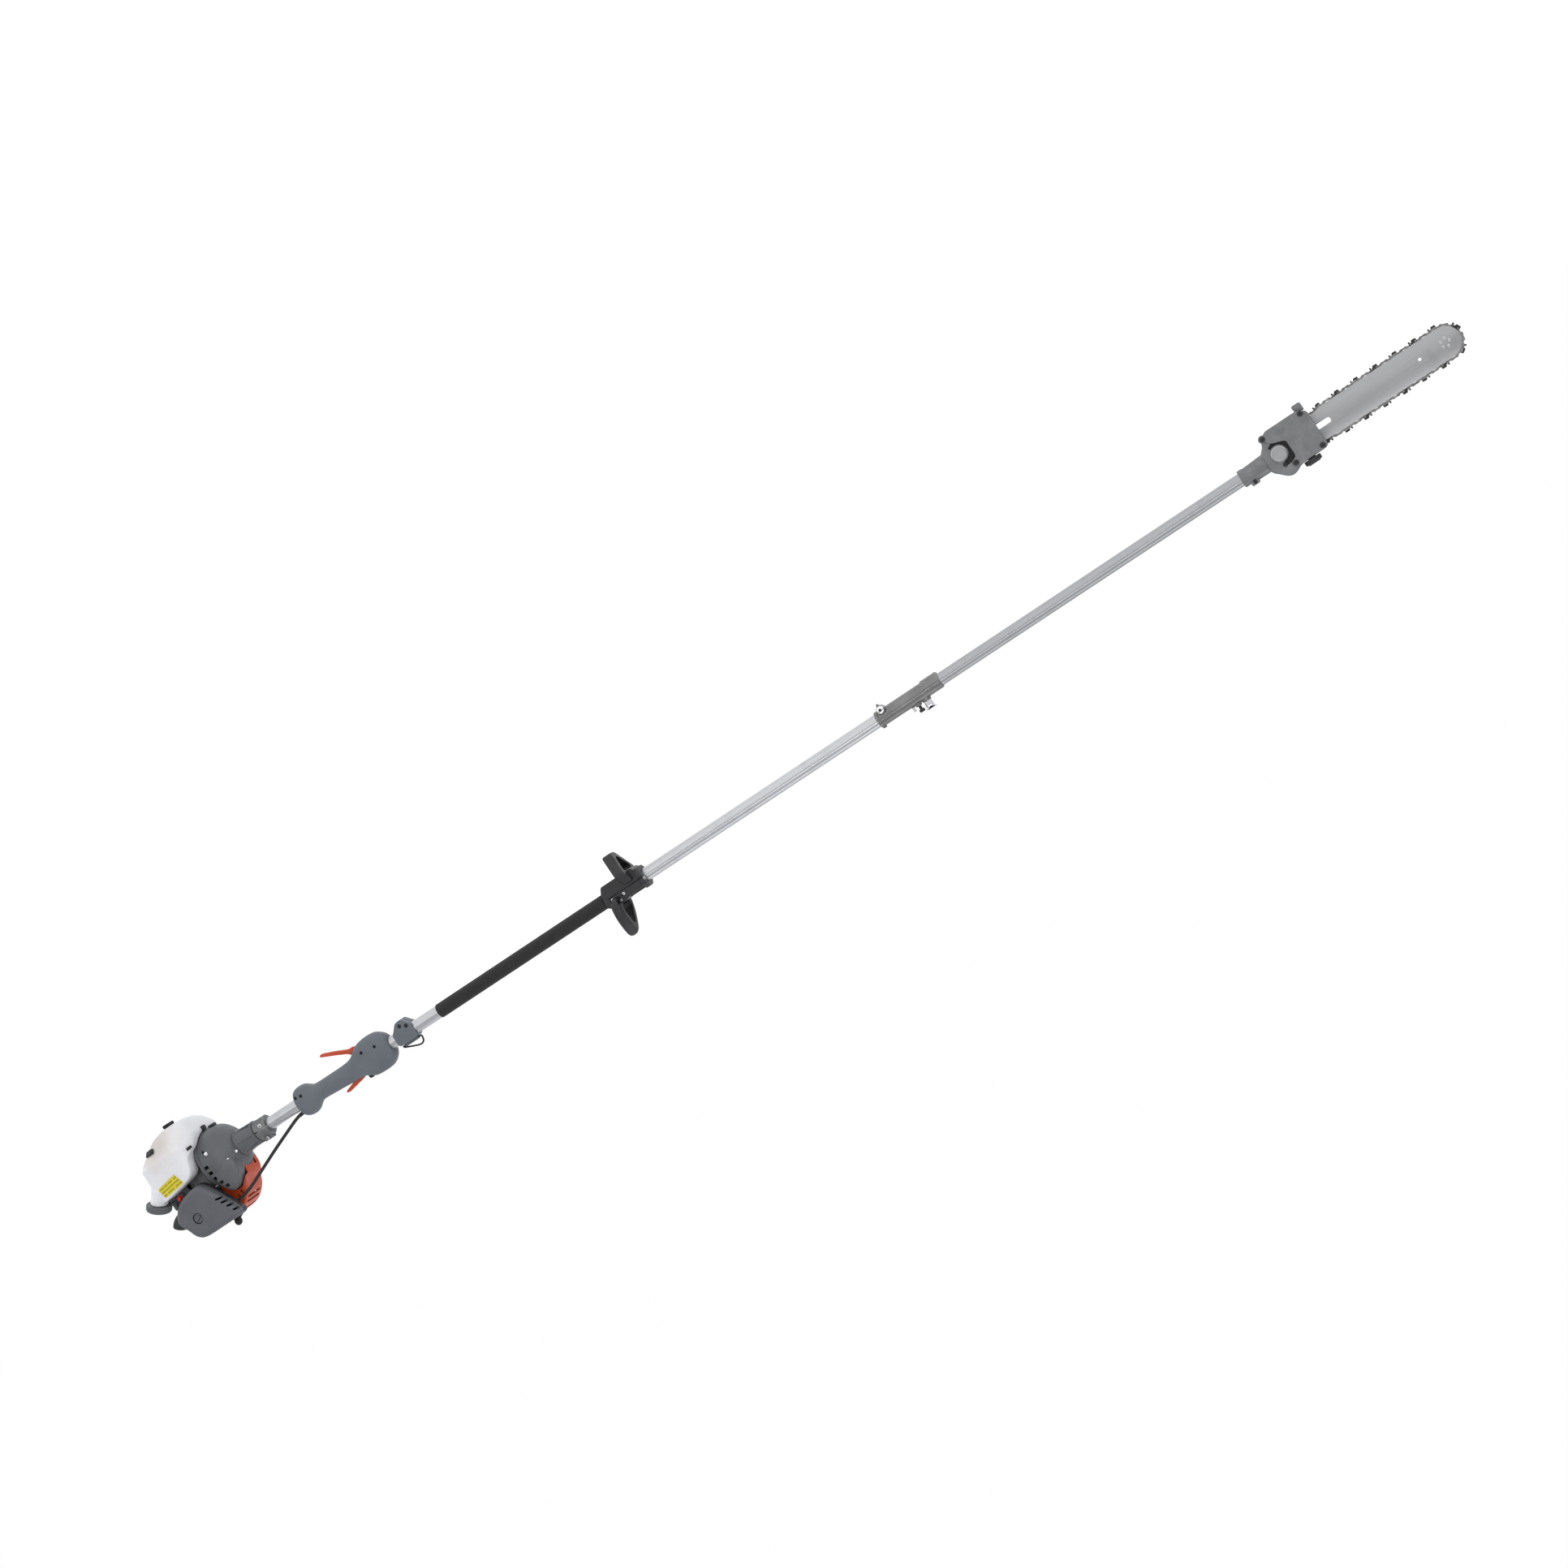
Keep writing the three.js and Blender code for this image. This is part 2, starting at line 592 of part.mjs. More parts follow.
// Its plan at each height: centre X, half length, half width and corner radius.
const TANK_PLAN = [
  { z: 30, x: -7, length: 70, width: TANK.halfWidth, corner: 40 },
  { z: -60, x: -7, length: 70, width: TANK.halfWidth, corner: 40 },
  { z: -78, x: 3, length: 60, width: 74, corner: 38 },
  { z: -93, x: 5, length: 50, width: 63, corner: 34 },
  { z: -103, x: 7, length: 37, width: 50, corner: 28 },
  { z: TANK.bottom, x: 8, length: 20, width: 30, corner: 18 },
];
const CORNER_STEPS = 5;
function planPoints({ z, x, length, width, corner }) {
  const points = [];
  for (const sx of [-1, 1])
    for (const sy of [-1, 1])
      for (let i = 0; i <= CORNER_STEPS; i++) {
        const angle = (i / CORNER_STEPS) * (Math.PI / 2);
        points.push([
          x + sx * (length - corner + corner * Math.cos(angle)),
          sy * (width - corner + corner * Math.sin(angle)),
          z,
        ]);
      }
  return points;
}
function fuelTank() {
  const sides = slab(TANK_OUTLINE, -TANK.halfWidth, TANK.halfWidth, { round: 14, bevel: 5 });
  const bowl = wasm.Manifold.hull(TANK_PLAN.flatMap(planPoints));
  const channel = box(-130, 44, -TANK.channel, TANK.channel, TANK.floor, 60);
  const cap = [CAP.x, CAP.y, CAP.z];
  const neck = turned([[-34, 0], [-34, 18], [-GAP, 18], [-GAP, 0]], CAP_AXIS, cap, 18);
  const bore = turned([[-14, 0], [-14, 14], [1, 14], [1, 0]], CAP_AXIS, cap, 18);
  return cut(join(cut(sides.intersect(bowl), channel), neck), bore, rod(STARTER.radius + 1, -140, 0));
}
node("fuel_tank", fuelTank(), tankWhite());
node(
  "fuel_cap",
  turned(
    [[0, 0], [0, CAP.radius], [9, CAP.radius], [CAP.height, CAP.radius - 4], [CAP.height, 0]],
    CAP_AXIS,
    [CAP.x, CAP.y, CAP.z],
    24,
  ),
  darkGrey(),
);
node(
  "tank_foot_pad",
  slab(
    [
      [-FOOT.halfLength, -POLE_AXIS_Z], [-FOOT.halfLength, FOOT.top],
      [FOOT.halfLength, FOOT.top], [FOOT.halfLength, -POLE_AXIS_Z],
    ],
    -FOOT.halfWidth,
    FOOT.halfWidth,
    { round: 1.5 },
  ),
  rubber(),
);

// ---- throttle handle and cable ----
const CABLE = [
  [271.4, 0, 19], [254, 5, 26], [222, 14, 40], [186, 24, 56], [142, 38, 76], [112, 46, 90],
  [84, 49, 97], [56, 49, 98], [36, 47.5, 92], [29, 46.7, 83.5],
];
node("throttle_cable", wire(CABLE, 3.4, 30), rubber());

const HANDLE_OUTLINE = [
  [272, 14], [276, 30], [300, 34], [316, 30], [328, 20], [430, 27], [444, 32], [464, 40], [496, 40],
  [515, 33], [523, 20], [523, -20], [515, -33], [496, -40], [465, -40], [448, -33], [433, -19],
  [328, -13.9], [316, -27], [300, -31], [276, -27], [272, -14],
];
function throttleHandle() {
  const body = slab(HANDLE_OUTLINE, -HANDLE.halfWidth, HANDLE.halfWidth, { round: 8, bevel: 3 });
  const bore = rod(TUBE_BORE, 260, 540);
  const triggerSlot = box(424, 466, -5.8, 5.8, -48, -16);
  const topSlot = box(374, 457, -4.7, 4.7, 16.5, 48);
  return cut(body, bore, triggerSlot, topSlot);
}
const handleBody = throttleHandle();
node(
  "throttle_handle_left_shell",
  cut(handleBody, box(200, 600, -60, GAP / 2, -80, 80)),
  handleGrey(),
);
node(
  "throttle_handle_right_shell",
  cut(handleBody, box(200, 600, -GAP / 2, 60, -80, 80)),
  handleGrey(),
);
node(
  "throttle_trigger",
  slab(
    [[453, -20.5], [454, -33], [444, -39], [434, -37], [379, -60], [374, -56], [430, -30], [440, -20.5]],
    -5,
    5,
    { round: 3, bevel: 1 },
  ),
  orange(),
);
node(
  "lockout_lever",
  slab([[433, 19], [433, 27.5], [424, 29], [384, 36], [381, 31], [420, 19]], -4, 4, {
    round: 2,
  }),
  orange(),
);
node(
  "stop_switch",
  slab([[442, 20], [442, 34], [450, 37], [450, 20]], -4, 4, { round: 2 }),
  blackPlastic(),
);

// ---- harness hanger ----
const HANGER_LEG_Z = 19.5;
function harnessClamp() {
  const body = slab(
    [[536, -6], [536, 12], [541, 17], [580, 17], [585, 12], [585, -10], [574, -24], [567, -31], [554, -24]],
    -16,
    16,
    { round: 4, bevel: 1.5 },
  );
  const ridge = box(548, 578, -5, 5, 10, 18);
  const hole = rod(2.3, 530, 590, "x", [0, 0, HANGER_LEG_Z], 12);
  const slit = box(530, 590, -1, 1, -24, 0);
  return cut(join(body, ridge), rod(TUBE_BORE, 530, 590), hole, slit);
}
node("harness_clamp", harnessClamp(), handleGrey());
function harnessRing() {
  const leg = rod(1.5, 539, 587, "x", [0, 0, HANGER_LEG_Z], 8);
  const bow = wire(
    [
      [540, 0, HANGER_LEG_Z], [547, 0, 24], [560, 0, 29.5], [572, 0, 34], [581, 0, 33],
      [586, 0, 27], [586, 0, HANGER_LEG_Z],
    ],
    1.5,
    18,
    6,
  );
  return join(leg, bow);
}
node("harness_ring", harnessRing(), steel());

// ---- loop handle ----
const loopFrame = (outer, inner, round, x0, x1, bevel, lean) =>
  cut(
    frameOf(outline(outer, round), x0, x1, bevel, lean),
    frameOf(outline(inner, round * 0.75), x0 - 20, x1 + 20, 0, lean),
  );
const mirrored = (half) => [...half, ...half.slice().reverse().map(([y, z]) => [-y, z])];
const sideways = (points, side) => points.map(([y, z]) => [y, z * side]);
// Half of the clamp round the pole: a block, and a flange across its front end.
function loopClampHalf(block, side) {
  const { start, flange, end, halfWidth, split } = LOOP;
  const flangeOutline = sideways([[-26, split], [-26, 13], [-12, 23], [12, 23], [26, 13], [26, split]], side);
  return join(
    slab([[start, side * split], ...sideways(block, side), [1158, side * split]], -halfWidth, halfWidth, {
      round: 3,
    }),
    frameOf(outline(flangeOutline, 4), flange, end, 1.5),
  );
}
const poleBore = () => rod(TUBE_BORE, LOOP.start - 12, LOOP.end + 14);
function loopHandle() {
  const outer = mirrored([[9, 86], [26, 66], [38, 46], [43, 26], [30, 4]]);
  const inner = mirrored([[4, 66], [13, 54], [23, 40], [27, 28], [22, 21]]);
  const upper = loopFrame(outer, inner, 8, 1085, 1107, 3, 0.18);
  const clamp = loopClampHalf([[1072, 16], [1076, 20], [1112, 22], [1122, 18], [1158, 17]], 1);
  const below = box(1000, 1200, -100, 100, -100, LOOP.split);
  return cut(join(upper, clamp), poleBore(), below);
}
node("loop_handle", loopHandle(), blackPlastic());
function loopHandleCap() {
  const outer = mirrored([[30, -6], [40, -28], [13, -73]]);
  const inner = mirrored([[22, -28.5], [24, -33], [5, -60]]);
  const lower = loopFrame(outer, inner, 5, 1128, 1150, 3, -0.22);
  const clamp = loopClampHalf([[1072, 12], [1081, 27], [1152, 27], [1158, 22]], -1);
  const above = box(1000, 1200, -100, 100, -LOOP.split, 100);
  return cut(join(lower, clamp), poleBore(), above);
}
node("loop_handle_cap", loopHandleCap(), blackPlastic());

// ---- telescope coupler ----
const KNOB_POST = { x: 1814, top: 24 };
const LOCK_PIN_X = 1796;
const COUPLER_BOLT = { x: 1733, z: -14, radius: 7 };
function couplerSleeve() {
  const { start, step, end, sleeve, collar } = COUPLER;
  const body = turned([
    [start, TUBE_BORE], [start, sleeve - 1], [start + 2, sleeve], [step - 2, sleeve], [step, collar],
    [end - 2, collar], [end, collar - 2], [end, FRONT_TUBE.outer + GAP], [step, FRONT_TUBE.outer + GAP],
    [step, TUBE_BORE], [start, TUBE_BORE],
  ]);
  const post = rod(8.5, 10, KNOB_POST.top - 4, "z", [KNOB_POST.x, 0, 0], 20);
  const pinGuide = rod(6, 10, 20, "z", [LOCK_PIN_X, 0, 0], 12);
  const bores = join(rod(TUBE_BORE, start - 1, step - 0.1), rod(FRONT_TUBE.outer + GAP, step - 1, end + 1));
  const screwHole = rod(4.4, 0, 40, "z", [KNOB_POST.x, 0, 0], 12);
  const pinHole = rod(3.4, 0, 40, "z", [LOCK_PIN_X, 0, 0], 12);
  const { x, z, radius } = COUPLER_BOLT;
  const lug = rod(radius + 1.5, 0, 17, "y", [x, 0, z], 12);
  return cut(join(body, post, pinGuide, lug), bores, screwHole, pinHole);
}
node("coupler_sleeve", couplerSleeve(), castAluminium());
function couplerKnob() {
  const x = KNOB_POST.x;
  const screw = rod(4, 14.2, 24, "z", [x, 0, 0], 12);
  const hub = rod(8, 20.4, 30, "z", [x, 0, 0], 12);
  const half = [[-8, 26], [-10, 36], [-4, 37], [0, 32]];
  const wing = [...half, ...half.slice(0, 3).reverse().map(([dx, z]) => [-dx, z])];
  const wings = slab(wing.map(([dx, z]) => [x + dx, z]), -2.5, 2.5, { round: 3 });
  return join(screw, hub, wings);
}
node("coupler_knob", couplerKnob(), chrome());
node(
  "coupler_lock_pin",
  turned([[14.2, 0], [14.2, 3], [21, 3], [21, 5.5], [27, 5.5], [29, 4.5], [29, 0]], "z", [
    LOCK_PIN_X, 0, 0,
  ], 12),
  blackPlastic(),
);

// ---- saw head ----
const HEAD_OUTLINE = [
  [2556, -18], [2556, 19], [2566, 30], [2579, 43], [2592, 44], [2606, 36], [2663, 35], [2663, -39],
  [2646, -48], [2582, -48], [2570, -38], [2564, -24],
];
const LID_OUTLINE = [
  [2594, 35], [2663, 34], [2663, -39], [2646, -48], [2582, -48], [2571, -38], [2580, -24],
  [2606, -15], [2606, 19], [2594, 22],
];
function gearCase() {
  const { neck, body, inner, outer } = HEAD;
  const socket = turned([
    [neck, 0], [neck, 15], [neck + 3, 16.4], [neck + 30, 17], [body, 18.5], [body + 8, 18.5], [body + 8, 0],
  ]);
  const block = slab(HEAD_OUTLINE, inner, outer, { round: 6, bevel: 2 });
  const capSeat = rod(16.5, inner + 2, 22, "y", [GEAR_X, 0, 0], 18);
  const stud = rod(4, -31, inner + 2, "y", [STUD_X, 0, BAR.z], 12);
  const tubeSocket = rod(FRONT_TUBE.outer + GAP, neck - 1, FRONT_TUBE.end + GAP);
  const pinionRoom = rod(9.8, neck, GEAR_X - 2, "x", [0, 0, 0], 18);
  const gearRoom = rod(12.4, 1, 23, "y", [GEAR_X, 0, 0], 18);
  const shaftHole = rod(5.6, inner - 1, 3, "y", [GEAR_X, 0, 0], 12);
  const oilRoom = slab(
    [
      [2608, 14], [2608, -14], [2584, -26], [2584, -40], [2642, -40],
      [2655, -34], [2655, 20], [2648, 27], [2612, 27],
    ],
    -3,
    outer + 1,
    { round: 5 },
  );
  const filler = rod(8, 10, 50, "z", [FILLER.x, FILLER.y, 0], 20);
  const slitTop = box(neck - 1, 2548, -1, 1, 0, 30);
  const chainSide = box(2552, 2572, -40, inner, -40, 40);
  return cut(
    join(block, cut(socket, chainSide), capSeat, stud),
    tubeSocket, pinionRoom, gearRoom, shaftHole, oilRoom, filler, slitTop,
  );
}
node("gear_case", gearCase(), castAluminium());
node(
  "gear_case_cover",
  cut(
    slab(LID_OUTLINE, HEAD.outer + GAP, HEAD.lid, { round: 4, bevel: 1 }),
    rod(16.9, 10, 30, "y", [GEAR_X, 0, 0], 18),
  ),
  castAluminium(),
);
node(
  "gear_case_cap",
  turned([[22.3, 0], [22.3, 14.3], [25, 14.3], [26.2, 12.5], [26.2, 0]], "y", [GEAR_X, 0, -1.5], 20),
  steel(),
);
function bevelGear() {
  const cone = toothedCone(
    BEVEL.gearTeeth,
    BEVEL.gear - 0.7,
    BEVEL.small,
    BEVEL.pinion * (1 - BEVEL.small),
    1.8,
  );
  cone.rotateX(Math.PI / 2);
  cone.translate(GEAR_X, BEVEL.pinion + 0.2, 0);
  const hub = rod(6, 8, 17, "y", [GEAR_X, 0, 0], 20);
  const shaft = rod(4.5, -24, 21, "y", [GEAR_X, 0, 0], 12);
  return join(solid(cone), hub, shaft);
}
node("bevel_gear", bevelGear(), steel());
node(
  "rim_sprocket",
  cut(
    ring(SPROCKET.radius - GAP, 4.8, BAR.y - SPROCKET.width / 2, BAR.y + 3.1, "y", [GEAR_X, 0, 0], 18),
    ring(20, 11.5, BAR.y - 1, BAR.y + 1, "y", [GEAR_X, 0, 0], 18),
  ),
  steel(),
);

// The edge that the chain runs on: round the sprocket, then along both sides of the bar.
const RUN_CIRCLES = [
  { x: GEAR_X, z: 0, r: SPROCKET.radius },
  { x: BAR.shoulderX, z: BAR.z, r: BAR.half },
  { x: BAR.noseX, z: BAR.z, r: BAR.half },
];
// Straight piece that touches two circles on the side given (+1 upper, -1 lower).
function tangent(a, b, side) {
  const [dx, dz] = [b.x - a.x, b.z - a.z];
  const length = Math.hypot(dx, dz);
  const angle = Math.atan2(dz, dx) + side * Math.acos((a.r - b.r) / length);
  return angle;
}
// Points along the run with their outward directions, going over the top to the nose and back.
function chainRun(step) {
  const [gear, shoulder, nose] = RUN_CIRCLES;
  const upRear = tangent(gear, shoulder, 1);
  const downRear = tangent(gear, shoulder, -1);
  const run = [];
  const at = (c, angle) => ({
    x: c.x + c.r * Math.cos(angle),
    z: c.z + c.r * Math.sin(angle),
    nx: Math.cos(angle),
    nz: Math.sin(angle),
  });
  const arc = (c, from, to) => {
    const count = Math.max(1, Math.round((Math.abs(to - from) * c.r) / step));
    for (let i = 0; i < count; i++) run.push(at(c, from + ((to - from) * i) / count));
  };
  const line = (a, angleA, b, angleB) => {
    const [p, q] = [at(a, angleA), at(b, angleB)];
    const count = Math.max(1, Math.round(Math.hypot(q.x - p.x, q.z - p.z) / step));
    for (let i = 0; i < count; i++) {
      const k = i / count;
      run.push({ x: p.x + (q.x - p.x) * k, z: p.z + (q.z - p.z) * k, nx: p.nx, nz: p.nz });
    }
  };
  arc(gear, downRear + 2 * Math.PI, upRear);
  line(gear, upRear, shoulder, upRear);
  arc(shoulder, upRear, Math.PI / 2);
  line(shoulder, Math.PI / 2, nose, Math.PI / 2);
  arc(nose, Math.PI / 2, -Math.PI / 2);
  line(nose, -Math.PI / 2, shoulder, -Math.PI / 2);
  arc(shoulder, -Math.PI / 2, downRear);
  line(shoulder, downRear, gear, downRear);
  return run;
}
const shapeOf = (points) => {
  const shape = new THREE.Shape();
  points.forEach(([x, z], i) => (i === 0 ? shape.moveTo(x, z) : shape.lineTo(x, z)));
  shape.closePath();
  return shape;
};
function sawChain() {
  const run = chainRun(4.7);
  const lengths = [0];
  for (let i = 1; i <= run.length; i++) {
    const [p, q] = [run[i - 1], run[i % run.length]];
    lengths.push(lengths[i - 1] + Math.hypot(q.x - p.x, q.z - p.z));
  }
  const total = lengths[run.length];
  const cutters = Math.round(total / CHAIN.pitch);
  // Height over one cutter's share of the chain: depth gauge, gullet, cutter, then plain links.
  const height = (share) => {
    if (share < 0.12) return CHAIN.cutter - 1;
    if (share < 0.2) return CHAIN.link - 1.5;
    if (share < 0.42) return CHAIN.cutter;
    return CHAIN.link;
  };
  const outer = run.map((p, i) => {
    const share = 1 - (((lengths[i] / total) * cutters) % 1);
    const h = height(share);
    return [p.x + p.nx * h, p.z + p.nz * h];
  });
  const inner = chainRun(6).map((p) => [p.x + p.nx * CHAIN.clearance, p.z + p.nz * CHAIN.clearance]);
  const half = CHAIN.width / 2;
  return cut(
    slab(shapeOf(outer), BAR.y - half, BAR.y + half),
    slab(shapeOf(inner), BAR.y - CHAIN.width, BAR.y + CHAIN.width),
  );
}
node("saw_chain", sawChain(), steel());

const NOSE_WHEEL = { radius: 24, room: 25, hub: 8 };
function guideBar() {
  const run = chainRun(7);
  const half = BAR.thickness / 2;
  const plate = slab(shapeOf(run.map((p) => [p.x, p.z])), BAR.y - half, BAR.y + half);
  const heel = rod(26, BAR.y - 5, BAR.y + 5, "y", [GEAR_X, 0, 0], 18);
  const slot = slab(
    [[2640, BAR.z - 5], [2640, BAR.z + 5], [2690, BAR.z + 5], [2690, BAR.z - 5]],
    BAR.y - 5,
    BAR.y + 5,
    { round: 5 },
  );
  const hole = rod(3, BAR.y - 5, BAR.y + 5, "y", [2869, 0, BAR.z], 12);
  const room = ring(NOSE_WHEEL.room, NOSE_WHEEL.hub, BAR.y - 0.9, BAR.y + 0.9, "y", [
    BAR.noseX, 0, BAR.z,
  ], 20);
  const mouth = cut(
    box(BAR.noseX + 12, BAR.noseX + 40, BAR.y - 0.9, BAR.y + 0.9, BAR.z - 20, BAR.z + 20),
    rod(NOSE_WHEEL.hub + 2, BAR.y - 3, BAR.y + 3, "y", [BAR.noseX, 0, BAR.z], 12),
  );
  return cut(plate, heel, slot, hole, room, mouth);
}
node("guide_bar", guideBar(), steel());
node(
  "nose_sprocket",
  ring(NOSE_WHEEL.radius, NOSE_WHEEL.hub + 0.5, BAR.y - 0.55, BAR.y + 0.55, "y", [
    BAR.noseX, 0, BAR.z,
  ], 18),
  steel(),
);

function sprocketCover() {
  const corners = [
    [2553, -16], [2553, 16], [2566, 32], [2600, 34], [2663, 32], [2663, -38], [2640, -44], [2580, -40],
  ];
  const shell = slab(corners, -34, -17, { round: 10, bevel: 3 });
  const room = slab(
    [[2557, -20], [2557, 20], [2570, 29], [2612, 29], [2612, -35], [2580, -35]],
    -29,
    -16,
    { round: 8 },
  );
  const studHole = rod(4.6, -36, -16, "y", [STUD_X, 0, BAR.z], 12);
  return cut(shell, room, studHole);
}
node("sprocket_cover", sprocketCover(), blackPlastic());
node(
  "bar_nut",
  cut(
    join(
      rod(7.5, -41, -35.6, "y", [STUD_X, 0, BAR.z], HEX_SIDES),
      rod(9, -35.6, -34.3, "y", [STUD_X, 0, BAR.z], 20),
    ),
    rod(4.4, -42, -34, "y", [STUD_X, 0, BAR.z], 12),
  ),
  steel(),
);
node(
  "limb_stop",
  slab([[2645, -49.5], [2640, -56], [2652, -59], [2662, -56], [2662, -43], [2656, -45]], -4, 12, {
    round: 2,
  }),
  castAluminium(),
);
node(
  "oil_cap",
  join(
    turned([[36.6, 0], [36.6, 16], [44, 16], [46, 14], [46, 0]], "z", [FILLER.x, FILLER.y, 0], 20),
    rod(7.4, 26, 37, "z", [FILLER.x, FILLER.y, 0], 12),
    box(FILLER.x - 12, FILLER.x + 12, FILLER.y - 2, FILLER.y + 2, 45, 48),
  ),
  blackPlastic(),
);

export default root;
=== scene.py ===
"""The looks of a telescoping pole saw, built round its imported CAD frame.

Shapes are worked out in millimetres with z measured from the pole's axis, as the CAD model
is, and turned into metres when a piece is made. +X runs to the saw and +Y to the user's left.
"""

import json
import math
from types import SimpleNamespace

import bmesh
import bpy
from mathutils import Matrix, Vector
from mathutils.bvhtree import BVHTree


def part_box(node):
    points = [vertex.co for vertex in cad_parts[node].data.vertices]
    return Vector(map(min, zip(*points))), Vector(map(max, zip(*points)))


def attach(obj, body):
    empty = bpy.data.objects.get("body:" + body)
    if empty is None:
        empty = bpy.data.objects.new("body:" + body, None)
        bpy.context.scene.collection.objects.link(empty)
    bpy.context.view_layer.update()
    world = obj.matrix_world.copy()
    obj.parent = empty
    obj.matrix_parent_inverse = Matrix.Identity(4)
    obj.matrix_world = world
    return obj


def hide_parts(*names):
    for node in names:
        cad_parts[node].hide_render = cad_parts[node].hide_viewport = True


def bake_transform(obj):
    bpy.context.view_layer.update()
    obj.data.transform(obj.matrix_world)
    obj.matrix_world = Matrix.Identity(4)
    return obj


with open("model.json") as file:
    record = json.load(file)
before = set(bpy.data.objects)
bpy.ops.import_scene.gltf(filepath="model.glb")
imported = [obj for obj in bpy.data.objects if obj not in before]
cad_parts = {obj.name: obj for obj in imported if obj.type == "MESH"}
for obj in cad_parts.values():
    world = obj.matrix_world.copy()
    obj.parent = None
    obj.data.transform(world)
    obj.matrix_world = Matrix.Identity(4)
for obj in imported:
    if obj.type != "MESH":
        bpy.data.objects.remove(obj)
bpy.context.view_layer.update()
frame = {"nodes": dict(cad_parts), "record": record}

MM = 0.001
tube_low, tube_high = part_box("rear_pole_tube")
AXIS_HEIGHT = (tube_low.z + tube_high.z) / 2
TO_METRES = Matrix.Translation((0, 0, AXIS_HEIGHT)) @ Matrix.Scale(MM, 4)
X, Y, Z = Vector((1, 0, 0)), Vector((0, 1, 0)), Vector((0, 0, 1))
ENGINE = "engine_and_rear_pole"
SAW = "saw_section"


def span(node):
    """A CAD node's box in millimetres from the pole's axis."""
    low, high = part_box(node)
    return SimpleNamespace(
        x0=low.x / MM, x1=high.x / MM, y0=low.y / MM, y1=high.y / MM,
        z0=(low.z - AXIS_HEIGHT) / MM, z1=(high.z - AXIS_HEIGHT) / MM,
        x=(low.x + high.x) / 2 / MM, y=(low.y + high.y) / 2 / MM,
        z=((low.z + high.z) / 2 - AXIS_HEIGHT) / MM,
    )


# ---- materials ----
LOOKS = {}


class Look:
    """A material, and short ways to add nodes to it. Its pattern lies in the frame's metres."""

    def __init__(self, name, colour, roughness, metallic=0.0):
        self.material = bpy.data.materials.new(name)
        self.material.use_nodes = True
        self.tree = self.material.node_tree
        self.shader = self.tree.nodes["Principled BSDF"]
        self.place = self.node("ShaderNodeTexCoord").outputs["Object"]
        self.normal = None
        LOOKS[name] = self
        self.set("Base Color", (*colour, 1))
        self.set("Roughness", roughness)
        self.set("Metallic", metallic)

    def set(self, socket, value):
        if isinstance(value, bpy.types.NodeSocket):
            self.tree.links.new(value, self.shader.inputs[socket])
        else:
            self.shader.inputs[socket].default_value = value
        return self

    def node(self, kind, inputs=(), **settings):
        made = self.tree.nodes.new(kind)
        for key, value in settings.items():
            setattr(made, key, value)
        for key, value in dict(inputs).items():
            if isinstance(value, bpy.types.NodeSocket):
                self.tree.links.new(value, made.inputs[key])
            else:
                made.inputs[key].default_value = value
        return made

    def noise(self, scale, stretch=(1, 1, 1), detail=3.0):
        spread = self.node("ShaderNodeMapping", {"Vector": self.place, "Scale": stretch})
        inputs = {"Vector": spread.outputs[0], "Scale": scale, "Detail": detail}
        return self.node("ShaderNodeTexNoise", inputs).outputs[0]

    def cells(self, scale, stretch=(1, 1, 1)):
        spread = self.node("ShaderNodeMapping", {"Vector": self.place, "Scale": stretch})
        inputs = {"Vector": spread.outputs[0], "Scale": scale}
        return self.node("ShaderNodeTexVoronoi", inputs).outputs["Distance"]

    def between(self, value, from_low, from_high, low, high):
        inputs = {0: value, 1: from_low, 2: from_high, 3: low, 4: high}
        return self.node("ShaderNodeMapRange", inputs).outputs[0]

    def patches(self, scale, from_low, from_high, low=0.0, high=1.0, stretch=(1, 1, 1)):
        """Noise, with what lies between two of its levels spread from low to high."""
        return self.between(self.noise(scale, stretch), from_low, from_high, low, high)

    def mix(self, factor, first, second):
        inputs = {0: factor, 6: first, 7: second}
        return self.node("ShaderNodeMix", inputs, data_type="RGBA").outputs[2]

    def math(self, operation, first, second=0.5):
        return self.node("ShaderNodeMath", {0: first, 1: second}, operation=operation).outputs[0]

    def edges(self, radius):
        """1 on an edge or in a corner, 0 on the open surface."""
        soft = self.node("ShaderNodeBevel", {"Radius": radius}, samples=4).outputs[0]
        flat = self.node("ShaderNodeNewGeometry").outputs["Normal"]
        inputs = {0: soft, 1: flat}
        aligned = self.node("ShaderNodeVectorMath", inputs, operation="DOT_PRODUCT").outputs["Value"]
        return self.between(aligned, 0.98, 0.75, 0.0, 1.0)

    def bump(self, height, depth, strength=1.0):
        inputs = {"Height": height, "Distance": depth, "Strength": strength}
        if self.normal:
            inputs["Normal"] = self.normal
        self.normal = self.node("ShaderNodeBump", inputs).outputs[0]
        return self.set("Normal", self.normal)


def shade(colour, factor):
    return (*[min(1.0, c * factor) for c in colour], 1)


def moulded(name, colour, roughness, wear=1.35, grain=1600, depth=0.00006):
    """Moulded plastic: fine spark-eroded grain, faint flow mottling, rubbed edges."""
    look = Look(name, colour, roughness)
    mottle = look.patches(22, 0.3, 0.7)
    body = look.mix(mottle, shade(colour, 0.9), shade(colour, 1.1))
    scuffs = look.patches(160, 0.62, 0.72, 0.0, 0.25, (1, 1, 3))
    body = look.mix(scuffs, body, shade(colour, 1.25))
    look.set("Base Color", look.mix(look.edges(0.0012), body, shade(colour, wear)))
    look.set("Roughness", look.patches(75, 0.3, 0.7, roughness - 0.07, roughness + 0.09))
    look.bump(look.noise(grain, detail=1.0), depth, 0.5)
    return look


